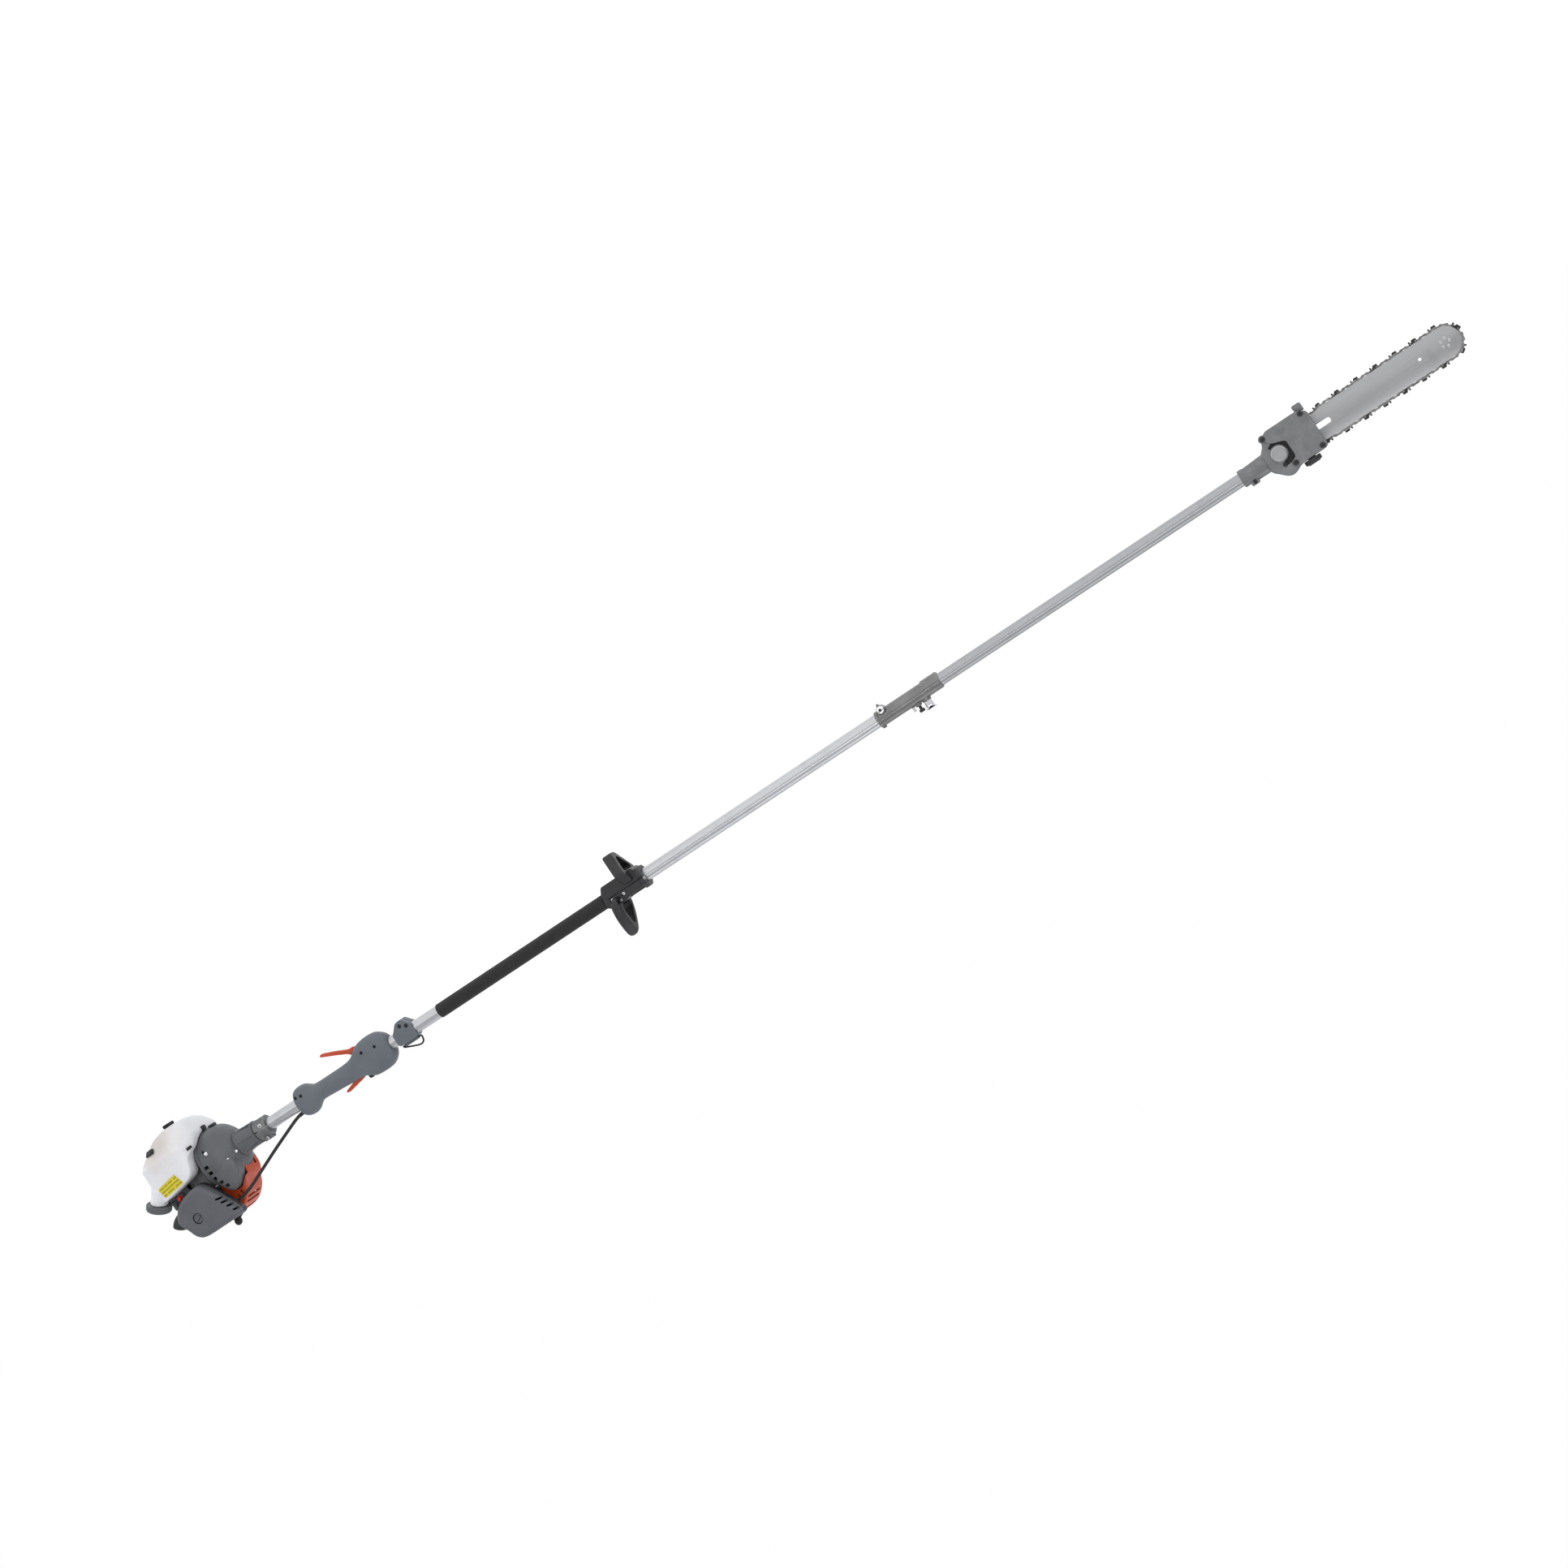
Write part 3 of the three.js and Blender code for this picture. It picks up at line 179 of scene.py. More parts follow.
def drawn_metal(name, colour, roughness, stretch=(1, 260, 260), bright=1.18, dull=0.86):
    """Bare drawn metal: long fine lines, a few brighter ones, light handling marks."""
    look = Look(name, colour, roughness, 1.0)
    lines = look.noise(9, stretch, 4.0)
    body = look.mix(look.between(lines, 0.3, 0.7, 0.0, 1.0), shade(colour, dull), shade(colour, bright))
    marks = look.patches(30, 0.58, 0.7, 0.0, 0.35)
    look.set("Base Color", look.mix(marks, body, shade(colour, 0.8)))
    look.set("Roughness", look.between(lines, 0.3, 0.7, roughness - 0.06, roughness + 0.1))
    look.set("Anisotropic", 0.35)
    look.bump(lines, 0.00004, 0.4)
    return look


def cast_metal(name, colour, roughness, wear=1.5):
    """Bead-blasted casting: pebbled skin, and brighter edges."""
    look = Look(name, colour, roughness, 0.85)
    mottle = look.patches(45, 0.3, 0.7)
    body = look.mix(mottle, shade(colour, 0.85), shade(colour, 1.12))
    look.set("Base Color", look.mix(look.edges(0.0009), body, shade(colour, wear)))
    look.set("Roughness", look.patches(120, 0.3, 0.7, roughness - 0.08, roughness + 0.1))
    look.bump(look.cells(900), 0.00012, 0.35)
    look.bump(look.noise(420), 0.00012, 0.35)
    return look


def cut_metal(name, colour, roughness, stain=0.7, scale=90):
    """Machined or pressed steel with faint tool marks and an uneven oil film."""
    look = Look(name, colour, roughness, 1.0)
    film = look.patches(scale, 0.35, 0.7)
    look.set("Base Color", look.mix(film, (*colour, 1), shade(colour, stain)))
    look.set("Roughness", look.patches(300, 0.3, 0.7, roughness - 0.06, roughness + 0.12))
    look.bump(look.noise(700, (1, 1, 6)), 0.00003, 0.4)
    return look


def soft_rubber(name, colour, scale, depth, roughness=0.85):
    """Rubber or closed-cell foam: small cells, and a dusty bloom in patches."""
    look = Look(name, colour, roughness)
    cell = look.cells(scale)
    bloom = look.patches(60, 0.45, 0.75, 0.0, 0.6)
    look.set("Base Color", look.mix(bloom, (*colour, 1), shade(colour, 1.6)))
    look.set("Roughness", look.between(cell, 0.0, 0.8, roughness - 0.12, roughness + 0.08))
    look.set("Sheen Weight", 0.06)
    look.set("Sheen Roughness", 0.5)
    look.bump(cell, depth, 0.8)
    return look


def tank_plastic():
    """Translucent blown polyethylene; what is left of the fuel shows as a warm patch inside."""
    colour = (0.74, 0.745, 0.77)
    look = Look("tank_white", colour, 0.38)
    tank = span("fuel_tank")
    patch = Vector((tank.x1 - 72, tank.y1 - 30, -82)) * MM + Vector((0, 0, AXIS_HEIGHT))
    away = look.node("ShaderNodeVectorMath", {0: look.place, 1: patch}, operation="SUBTRACT").outputs[0]
    length = look.node("ShaderNodeVectorMath", {0: away}, operation="LENGTH").outputs["Value"]
    ragged = look.math("ADD", length, look.math("MULTIPLY", look.noise(28), 0.03))
    fuel = look.between(ragged, 0.035, 0.075, 0.7, 0.0)
    clouds = look.patches(14, 0.35, 0.7)
    body = look.mix(clouds, shade(colour, 0.93), shade(colour, 1.03))
    look.set("Base Color", look.mix(fuel, body, (0.56, 0.50, 0.45, 1)))
    look.set("Roughness", look.patches(260, 0.3, 0.7, 0.3, 0.48))
    look.set("Subsurface Weight", 0.35)
    look.set("Subsurface Radius", (0.012, 0.011, 0.010))
    look.set("Subsurface Scale", 1.0)
    look.bump(look.noise(320, detail=2.0), 0.0001, 0.4)
    return look


def braided(name, colour):
    """Starter cord: strands laid slantwise."""
    look = Look(name, colour, 0.8)
    wave = {"Vector": look.place, "Scale": 420.0, "Distortion": 1.5}
    strands = look.node("ShaderNodeTexWave", wave, bands_direction="DIAGONAL").outputs[1]
    look.set("Base Color", look.mix(strands, shade(colour, 0.6), shade(colour, 1.7)))
    look.set("Roughness", look.between(strands, 0.0, 1.0, 0.7, 0.95))
    look.bump(strands, 0.0003, 0.8)
    return look


def sticker(name, colour, bars):
    """Vinyl with plain printed bars. `bars` turns them in line with the label."""
    look = Look(name, colour, 0.35)
    wave = {"Vector": look.node("ShaderNodeMapping", {"Vector": look.place, "Rotation": bars}).outputs[0],
            "Scale": 42.0, "Distortion": 0.0}
    stripes = look.node("ShaderNodeTexWave", wave, bands_direction="Z").outputs[1]
    ink = look.between(stripes, 0.6, 0.75, 0.0, 0.85)
    gaps = look.patches(130, 0.4, 0.46, stretch=(1, 1, 0.2))
    look.set("Base Color", look.mix(look.math("MULTIPLY", ink, gaps), (*colour, 1), shade(colour, 0.35)))
    look.set("Roughness", look.patches(90, 0.3, 0.7, 0.28, 0.45))
    look.bump(look.noise(500), 0.00002, 0.3)
    return look


drawn_metal("pole_rear", (0.50, 0.505, 0.515), 0.27)
drawn_metal("pole_front", (0.37, 0.375, 0.385), 0.3)
soft_rubber("foam", (0.012, 0.012, 0.013), 900, 0.0004)
cut_metal("steel", (0.55, 0.55, 0.56), 0.26)
cut_metal("muffler_steel", (0.4, 0.37, 0.34), 0.42, 0.45, 40)
cut_metal("chain_steel", (0.3, 0.295, 0.29), 0.36, 0.45, 140)
cut_metal("dark_steel", (0.06, 0.058, 0.056), 0.36, 0.6, 140)
drawn_metal("bar_steel", (0.37, 0.374, 0.378), 0.38, (1, 1, 60), 1.05, 0.94)
cast_metal("cast_aluminium", (0.2, 0.203, 0.207), 0.46)
cast_metal("coupler_grey", (0.2, 0.198, 0.198), 0.27)
cut_metal("chrome", (0.8, 0.8, 0.82), 0.1, 0.88)
moulded("black_plastic", (0.014, 0.014, 0.016), 0.42, 2.2)
moulded("dark_grey_plastic", (0.098, 0.105, 0.112), 0.48)
moulded("grey_plastic", (0.085, 0.091, 0.104), 0.44)
moulded("handle_grey", (0.108, 0.123, 0.142), 0.5)
moulded("orange_plastic", (0.45, 0.048, 0.008), 0.42, 1.2)
moulded("red_plastic", (0.5, 0.02, 0.012), 0.3, 1.2)
tank_plastic()
soft_rubber("rubber", (0.009, 0.009, 0.010), 1500, 0.0001, 0.7)
braided("rope", (0.1, 0.1, 0.1))
sticker("sticker_yellow", (0.62, 0.52, 0.012), (0, -0.13, 0))


# ---- shapes, in millimetres ----
def mesh_of(vertices, faces):
    mesh = bpy.data.meshes.new("shape")
    mesh.from_pydata([tuple(v) for v in vertices], [], faces)
    work = bmesh.new()
    work.from_mesh(mesh)
    bmesh.ops.remove_doubles(work, verts=work.verts, dist=1e-4)
    bmesh.ops.recalc_face_normals(work, faces=work.faces)
    if work.calc_volume(signed=True) < 0:
        bmesh.ops.reverse_faces(work, faces=work.faces)
    work.to_mesh(mesh)
    work.free()
    return mesh


def skinned(rings, closed=False):
    """A surface over rings of as many points each, capped at its ends unless it closes on itself."""
    count = len(rings[0])
    vertices = [point for ring in rings for point in ring]
    faces = []
    for i in range(len(rings) if closed else len(rings) - 1):
        a, b = i * count, (i + 1) % len(rings) * count
        faces += [(a + j, a + (j + 1) % count, b + (j + 1) % count, b + j) for j in range(count)]
    if not closed:
        faces += [tuple(range(count)), tuple(range(len(vertices) - count, len(vertices)))]
    return mesh_of(vertices, faces)


def across(axis):
    """Two directions square to an axis and to each other."""
    first = axis.orthogonal().normalized() if abs(axis.z) > 0.9 else Z.cross(axis).normalized()
    return first, axis.cross(first).normalized()


def turned(profile, axis=X, centre=(0, 0, 0), sides=64, shape=None):
    """Turns (along, radius) pairs about an axis, and closes both ends on it where the profile is open.

    shape(angle) scales the radius for flutes or flats.
    """
    axis = Vector(axis).normalized()
    u, v = across(axis)
    turn = [2 * math.pi * i / sides for i in range(sides)]
    closed = profile[0] == profile[-1]
    if not closed:
        first, last = [[(along, 0)] if radius else [] for along, radius in (profile[0], profile[-1])]
        profile = [*first, *profile, *last]
    rings = []
    for along, radius in profile[:-1] if closed else profile:
        middle = Vector(centre) + axis * along
        ring = []
        for angle in turn:
            r = radius * (shape(angle) if shape else 1)
            ring.append(middle + (u * math.cos(angle) + v * math.sin(angle)) * r)
        rings.append(ring)
    return skinned(rings, closed)


def rod(radius, start, end, axis=X, centre=(0, 0, 0), sides=64):
    return turned([(start, radius), (end, radius)], axis, centre, sides)


def side_rod(radius, start, end, x, z, sides=32):
    """A rod along Y."""
    return rod(radius, start, end, Y, (x, 0, z), sides)


def ring(outer, inner, start, end, axis=X, centre=(0, 0, 0), sides=64):
    profile = [(start, inner), (start, outer), (end, outer), (end, inner), (start, inner)]
    return turned(profile, axis, centre, sides)


def rounded(corners, radius, steps=6):
    """The outline through the corners given, with each corner drawn round over `radius` of its sides."""
    points = []
    for i, corner in enumerate(corners):
        corner = Vector(corner)
        before, after = Vector(corners[i - 1]), Vector(corners[(i + 1) % len(corners)])
        enter = corner + (before - corner).normalized() * min(radius, (before - corner).length / 2.05)
        leave = corner + (after - corner).normalized() * min(radius, (after - corner).length / 2.05)
        for k in range(steps + 1):
            t = k / steps
            points.append(enter * (1 - t) ** 2 + corner * (2 * t * (1 - t)) + leave * t * t)
    return points


def inwards(points, distance):
    """The outline moved inwards by a distance, mitred at its corners."""
    area = sum(a.x * b.y - b.x * a.y for a, b in zip(points, points[1:] + points[:1]))
    side = 1 if area > 0 else -1
    moved = []
    for i, point in enumerate(points):
        one = (point - points[i - 1]).normalized()
        two = (points[(i + 1) % len(points)] - point).normalized()
        n1, n2 = Vector((-one.y, one.x)) * side, Vector((-two.y, two.x)) * side
        moved.append(point + (n1 + n2) * (distance / max(0.4, 1 + n1.dot(n2))))
    return moved


PLANES = {
    "xz": lambda u, v, w: Vector((u, w, v)),
    "yz": lambda u, v, w: Vector((w, u, v)),
    "xy": lambda u, v, w: Vector((u, v, w)),
}


def slab(corners, low, high, round=0.0, edge=0.0, plane="xz", steps=4):
    """A plate with rounded corners and rounded edges, from `low` to `high` square to its plane."""
    points = rounded(corners, round) if round else [Vector(c) for c in corners]
    levels = [(edge * (1 - math.sin(k / steps * math.pi / 2)),
               edge * (1 - math.cos(k / steps * math.pi / 2))) for k in range(steps + 1)]
    if not edge:
        levels = [(0, 0)]
    place = PLANES[plane]
    rings = [[place(p.x, p.y, low + rise) for p in inwards(points, inset)] for inset, rise in levels]
    rings += [[place(p.x, p.y, high - rise) for p in inwards(points, inset)] for inset, rise in levels[::-1]]
    return skinned(rings)


def oblong(x0, x1, z0, z1):
    return [(x0, z0), (x0, z1), (x1, z1), (x1, z0)]


def box(x0, x1, y0, y1, z0, z1, edge=0.0):
    corners = [(x0, z0), (x1, z0), (x1, z1), (x0, z1)]
    return slab(corners, y0, y1, edge * 1.5, edge, steps=3)


def smooth_path(points, per=8, closed=False):
    """A Catmull-Rom curve through points."""
    points = [Vector(p) for p in points]
    ends = points if closed else [points[0] * 2 - points[1], *points, points[-1] * 2 - points[-2]]
    count = len(points) if closed else len(points) - 1
    path = []
    for i in range(count):
        p = [ends[(i + k - 1) % len(ends)] if closed else ends[i + k] for k in range(4)]
        for k in range(per):
            t = k / per
            path.append(
                0.5 * (2 * p[1] + (p[2] - p[0]) * t + (2 * p[0] - 5 * p[1] + 4 * p[2] - p[3]) * t * t
                       + (3 * p[1] - p[0] - 3 * p[2] + p[3]) * t ** 3)
            )
    return path if closed else path + [points[-1]]


def oval(half_wide, half_high, sides=24, power=2.0):
    """A closed section, from an ellipse (power 2) towards a rounded rectangle."""
    points = []
    for i in range(sides):
        c, s = math.cos(2 * math.pi * i / sides), math.sin(2 * math.pi * i / sides)
        points.append((
            half_wide * math.copysign(abs(c) ** (2 / power), c),
            half_high * math.copysign(abs(s) ** (2 / power), s),
        ))
    return points


def swept(path, section, side, closed=False):
    """A section carried along a path. Its first coordinate lies as near `side` as it can."""
    rings = []
    for i, point in enumerate(path):
        after = path[(i + 1) % len(path)] if closed or i + 1 < len(path) else point
        before = path[i - 1] if closed or i > 0 else point
        forward = (after - before).normalized()
        v = forward.cross(side).normalized()
        u = v.cross(forward)
        rings.append([point + u * a + v * b for a, b in section])
    return skinned(rings, closed)


def lofted(sections):
    """A body along X over (x, low z, high z, half width, power) sections."""
    rings = []
    for x, low, high, half, power in sections:
        middle, rise = (low + high) / 2, (high - low) / 2
        rings.append([Vector((x, y, middle + z)) for y, z in oval(half, rise, 56, power)])
    return skinned(rings)


def worked(mesh, modifiers):
    """The mesh with modifiers, given as (kind, settings), applied to it."""
    thing = bpy.data.objects.new("work", mesh)
    bpy.context.scene.collection.objects.link(thing)
    for kind, settings in modifiers:
        modifier = thing.modifiers.new(kind, kind)
        for key, value in settings.items():
            setattr(modifier, key, value)
    graph = bpy.context.evaluated_depsgraph_get()
    made = bpy.data.meshes.new_from_object(thing.evaluated_get(graph), depsgraph=graph)
    bpy.data.objects.remove(thing)
    return made


def combined(body, tools, operation):
    """The body joined to, or cut by, each tool in turn."""
    helpers = []
    for tool in tools:
        helper = bpy.data.objects.new("tool", tool)
        bpy.context.scene.collection.objects.link(helper)
        helpers.append(helper)
    steps = [("BOOLEAN", {"object": h, "operation": operation, "solver": "MANIFOLD"}) for h in helpers]
    made = worked(body, steps)
    for helper in helpers:
        bpy.data.objects.remove(helper)
    return made


def cut(body, *tools):
    return combined(body, tools, "DIFFERENCE")


def fused(body, *others):
    return combined(body, others, "UNION")


def gathered(*meshes):
    """Separate solids in one mesh, as a set of fasteners is."""
    work = bmesh.new()
    for mesh in meshes:
        work.from_mesh(mesh)
    made = bpy.data.meshes.new("set")
    work.to_mesh(made)
    work.free()
    return made


def moved(mesh, matrix):
    """A moved copy of the mesh."""
    made = mesh.copy()
    made.transform(matrix)
    return made


def turned_about(mesh, axis, angle, centre=(0, 0, 0)):
    there = Matrix.Translation(centre)
    return moved(mesh, there @ Matrix.Rotation(angle, 4, Vector(axis)) @ there.inverted())


def softened(mesh, voxel, passes):
    """Rounds every edge, as a moulded or blown wall is."""
    return worked(mesh, [
        ("REMESH", {"mode": "VOXEL", "voxel_size": voxel, "use_smooth_shade": True}),
        ("SMOOTH", {"factor": 0.5, "iterations": passes}),
    ])


def shown(name, mesh, look):
    """An object in metres, made from a mesh in millimetres."""
    mesh.transform(TO_METRES)
    mesh.name = name
    mesh.materials.clear()
    mesh.materials.append(LOOKS[look].material)
    mesh.shade_smooth()
    made = bpy.data.objects.new(name, mesh)
    bpy.context.scene.collection.objects.link(made)
    return made


def piece(name, mesh, look, body, stands_for=(), bevel=0.0, angle=35):
    """Makes the piece, finishes its edges, attaches it to its body and hides the CAD parts it stands for."""
    made = shown(name, mesh, look)
    if bevel:
        edges = made.modifiers.new("edges", "BEVEL")
        edges.width = bevel * MM
        edges.segments = 2
        edges.limit_method = "ANGLE"
        edges.angle_limit = math.radians(angle)
        edges.miter_outer = "MITER_ARC"
        even = made.modifiers.new("even", "WEIGHTED_NORMAL")
        even.keep_sharp = True
    else:
        mesh.set_sharp_from_angle(angle=math.radians(angle))
    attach(made, body)
    if stands_for:
        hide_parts(*([stands_for] if isinstance(stands_for, str) else stands_for))
    return made


def screw_head(centre, axis, radius, height, socket=0.45):
    """A round head with a hexagon socket, standing on `centre`."""
    dome = turned([(0, radius), (height * 0.5, radius), (height * 0.85, radius * 0.86),
                   (height, radius * 0.6)], axis, centre, 32)
    recess = rod(radius * socket, height * 0.35, height * 2, axis, centre, 6)
    return cut(dome, recess)


def left_screws(places, y, radius, height, socket=0.45):
    """Screw heads at (x, z) places that face the user's left."""
    return [screw_head((x, y, z), Y, radius, height, socket) for x, z in places]


def left_wells(places, radius, start, end):
    """Round wells at (x, z) places, sunk from the user's left."""
    return [side_rod(radius, start, end, x, z) for x, z in places]


def hex_head(centre, axis, radius, height):
    """A hexagon head on its washer."""
    washer = turned([(0, radius * 1.25), (height * 0.2, radius * 1.25)],
                    axis, centre, 32)
    head = turned([(height * 0.18, radius), (height * 0.9, radius),
                   (height, radius * 0.88)], axis, centre, 6)
    return fused(washer, head)


def fluted(count, depth):
    """Shallow scallops round a turned piece."""
    return lambda angle: 1 - depth * (0.5 - 0.5 * math.cos(count * angle)) ** 2


# ---- pole ----
REAR = span("rear_pole_tube")
FRONT = span("front_pole_tube")
REAR_RADIUS, FRONT_RADIUS = REAR.z1, FRONT.z1
BORE = REAR_RADIUS + 0.3


def pole_tubes():
    rear = ring(REAR_RADIUS, REAR_RADIUS - 0.9, REAR.x0, REAR.x1, sides=96)
    piece("rear_tube", rear, "pole_rear", ENGINE, "rear_pole_tube")
    front = ring(FRONT_RADIUS, FRONT_RADIUS - 1.2, FRONT.x0, FRONT.x1, sides=96)
    piece("front_tube", front, "pole_front", SAW, "front_pole_tube")


def foam_sleeve():
    s = span("foam_grip_sleeve")
    radius, end = s.z1, 1.0
    profile = [(s.x0, BORE), (s.x0, radius - end), (s.x0 + end, radius)]
    steps = 60
    for i in range(1, steps):
        x = s.x0 + end + (s.x1 - s.x0 - 2 * end) * i / steps
        profile.append((x, radius - 0.15 * (1 + math.sin(i * 2.3) * math.cos(i * 0.7)) / 2))
    profile += [(s.x1 - end, radius), (s.x1, radius - end), (s.x1, BORE), (s.x0, BORE)]
    sleeve = piece("foam_sleeve", turned(profile), "foam", ENGINE, "foam_grip_sleeve", angle=50)


def engine_clamp():
    s = span("engine_pole_clamp")
    radius, lug_top, middle = -s.z0, s.z1, s.x
    body = turned([(s.x0, radius - 1.5), (s.x0 + 1.5, radius), (middle - 3, radius),
                   (middle - 2, radius - 1), (middle + 2, radius - 1), (middle + 3, radius),
                   (s.x1 - 1.5, radius), (s.x1, radius - 1.5)])
    lugs = box(s.x0 + 5, s.x1 - 5, -9, 9, 14, lug_top, 1.5)
    foot = box(s.x0 + 4, s.x1 - 4, -15, 15, -radius, -10, 2)
    body = fused(body, lugs, foot)
    slit = box(s.x0 - 1, s.x1 + 1, -1, 1, 0, lug_top + 1)
    side_slit = box(s.x0 - 1, s.x1 + 1, 10, 30, -1.2, 1.2)
    body = cut(body, rod(BORE, s.x0 - 1, s.x1 + 1), slit, side_slit)
    piece("pole_clamp", body, "cast_aluminium", ENGINE, "engine_pole_clamp", bevel=0.5)
    bolts = gathered(
        screw_head((middle, 9, 21.5), Y, 4.6, 5),
        hex_head((middle, -9, 21.5), -Y, 4, 4),
        screw_head((middle + 5, radius * 0.9, -7), Y, 5.2, 3),
    )
    piece("pole_clamp_bolts", bolts, "steel", ENGINE, bevel=0.2)


# ---- engine ----
def clutch_nose():
    s = span("clutch_housing")
    rear, front = s.x0, s.x1
    body = turned([(rear, 28.5), (rear + 3, 28.5), (rear + 4, 27.2), (rear + 20, 25.4),
                   (front - 8, 23.2), (front - 6, 25), (front - 2, 25), (front, 22)], sides=72)
    ribs = [turned_about(box(rear + 1, front - 3, -1.4, 1.4, 20, 27.4, 0.8), X, math.radians(60 * i + 27))
            for i in range(6)]
    bores = [rod(BORE, REAR.x0 - 0.3, front + 1), rod(9, rear - 1, REAR.x0)]
    piece("clutch_nose", cut(fused(body, *ribs), *bores), "dark_grey_plastic", ENGINE,
          "clutch_housing", bevel=0.6)
    screws = [screw_head((x, 9.5, -21.6), Y - Z * 1.4, 3, 2.6) for x in (148, 156)]
    piece("clutch_nose_screws", gathered(*screws), "black_plastic", ENGINE)


# The shroud's (x, radius) from its front to its rim, and the duct beside it in (x, z).
DOME = [(118, 29), (114.5, 37), (109, 44.5), (101, 53), (93, 58.5), (84, 61.3), (74, 62), (60, 62), (46, 62)]
DUCT = [(46, 12), (50, 30), (62, 60), (76, 75), (88, 72), (104, 56), (114, 36), (112, 14)]
# What the engine cover leaves free for the duct.
DUCT_ROOM = [(44, 10), (48, 31), (60, 61), (75, 77), (90, 74), (107, 58), (118, 37), (119, 10)]


LIP_RADIUS = 63.5
SHROUD_WALL = 3.2


def dome_solid(grow=0.0):
    """The shroud's solid, grown outwards by a distance."""
    curve = [(p.x + grow, p.y + grow) for p in smooth_path([(x, r, 0) for x, r in DOME], 4)]
    return turned([(curve[0][0], 0), *curve, (curve[-1][0] - 2 * grow, curve[-1][1]),
                   (curve[-1][0] - 2 * grow, 0)], sides=96)


def fan_housing():
    duct = slab(DUCT, 22, 58, round=12, edge=5)
    lip = ring(LIP_RADIUS, 58, 46, 51, sides=96)
    shell = softened(fused(dome_solid(), duct), 1.7, 26)
    shell = cut(fused(shell, lip), dome_solid(-SHROUD_WALL), rod(24, 110, 121))
    vents = [box(52, 62, 44, 70, z - 3.6, z + 3.6, 1) for z in (4, 18, 32)]
    vents += [box(x, x + 10, 44, 70, z - 3.4, z + 3.4, 1) for x, z in ((60, 45), (68, 57))]
    bosses = [side_rod(5.5, 54, 74, 71, -20), rod(3.4, 52, 74, Y, (66, 0, -27), 24)]
    piece("fan_shell", cut(shell, *vents, *bosses), "dark_grey_plastic", ENGINE, "fan_housing", angle=40)
    screws = []
    for x, reach, z in ((116.4, 32.2, 9), (101.5, 51.8, 14)):
        screws.append(screw_head((x, math.sqrt(reach ** 2 - z ** 2), z), Y + X * 0.8, 3.2, 2.4, 0.3))
    screws.append(screw_head((71, 56, -20), Y, 4.8, 3, 0.3))
    piece("fan_shell_screws", gathered(*screws), "chrome", ENGINE)


CYLINDER_X = span("piston").x
PORT_HEIGHT = 57.5
FINS, FIN_PITCH = 6, 5.2
PLUG_AXIS = Vector((2, 20, 42)).normalized()
PLUG_SEAT = Vector((CYLINDER_X, 0, 94.4))


def crankcase():
    s = span("crankcase")
    front, chamber, bearing, mouth = 42, 24.5, 6.6, 18
    body = slab(oblong(s.x0, front, s.z0, s.z1), s.y0, s.y1, round=12, edge=4)
    flange = box(-6, 43.4, -26, 26, 36, s.z1, 2)
    seam = slab(oblong(11, 13, s.z0 - 1, s.z1 + 1), s.y0 - 1.2, s.y1 + 1.2)
    ribs = [box(-12 + 12 * i, -9.5 + 12 * i, s.y0 - 1, s.y1 + 1, -30, 26, 1) for i in range(5)]
    hollows = [rod(chamber, s.x0 + 10, front - 10), rod(bearing, s.x0 - 1, front + 1, sides=32),
               rod(mouth, 0, s.z1 + 1, Z, (CYLINDER_X, 0, 0))]
    piece("crankcase_casting", cut(fused(body, flange, seam, *ribs), *hollows), "cast_aluminium", ENGINE,
          "crankcase", bevel=0.5)


def cylinder_and_plug():
    root, tip = 21, 33
    profile = [(46.8, 25), (50.8, 25), (50.8, root)]
    for fin in range(FINS):
        z = 58 + FIN_PITCH * fin
        profile += [(z, root), (z + 0.5, tip), (z + 1.7, tip), (z + 2.2, root)]
    profile += [(88, 20), (90, 14)]
    body = turned(profile, Z, (CYLINDER_X, 0, 0), 80)
    port = (CYLINDER_X, 0, PORT_HEIGHT)
    ports = [rod(11, 0, 37.4, Y, port), rod(11, 0, 42.4, -Y, port)]
    boss = rod(9, -9, -0.3, PLUG_AXIS, PLUG_SEAT)
    bore = rod(17.3, 45, 85, Z, (CYLINDER_X, 0, 0))
    passage = side_rod(6, -50, 50, CYLINDER_X, PORT_HEIGHT)
    piece("cylinder_casting", cut(fused(body, *ports, boss), bore, passage), "cast_aluminium", ENGINE,
          "cylinder")
    boot = turned([(0, 0), (0, 9), (5, 9), (6, 6), (9, 6), (9, 8.5), (22, 8.5), (24, 5.5), (29, 5.5),
                   (29.5, 10), (32, 10), (33, 7.4), (35, 7.2), (38, 8), (41, 8.1), (44, 7.4),
                   (46.6, 5.8), (48.6, 3.4), (49.5, 0)], PLUG_AXIS, PLUG_SEAT, 48)
    tab = box(CYLINDER_X + 4, CYLINDER_X + 15, 9, 19, 121.5, 125, 1.2)
    piece("spark_plug_boot", fused(boot, tab), "rubber", ENGINE, "spark_plug", bevel=0.4)


# The engine cover's outer and inner outlines in (x, z).
COVER = [(109, 20), (108, 59), (94, 77), (86, 95), (63, 115), (40, 120), (-22, 120), (-33, 108), (-33, 20)]
COVER_ROOM = [(106, 0), (105, 58), (91, 75), (83, 93), (61, 112), (39, 117), (-21, 117), (-30, 106), (-30, 0)]


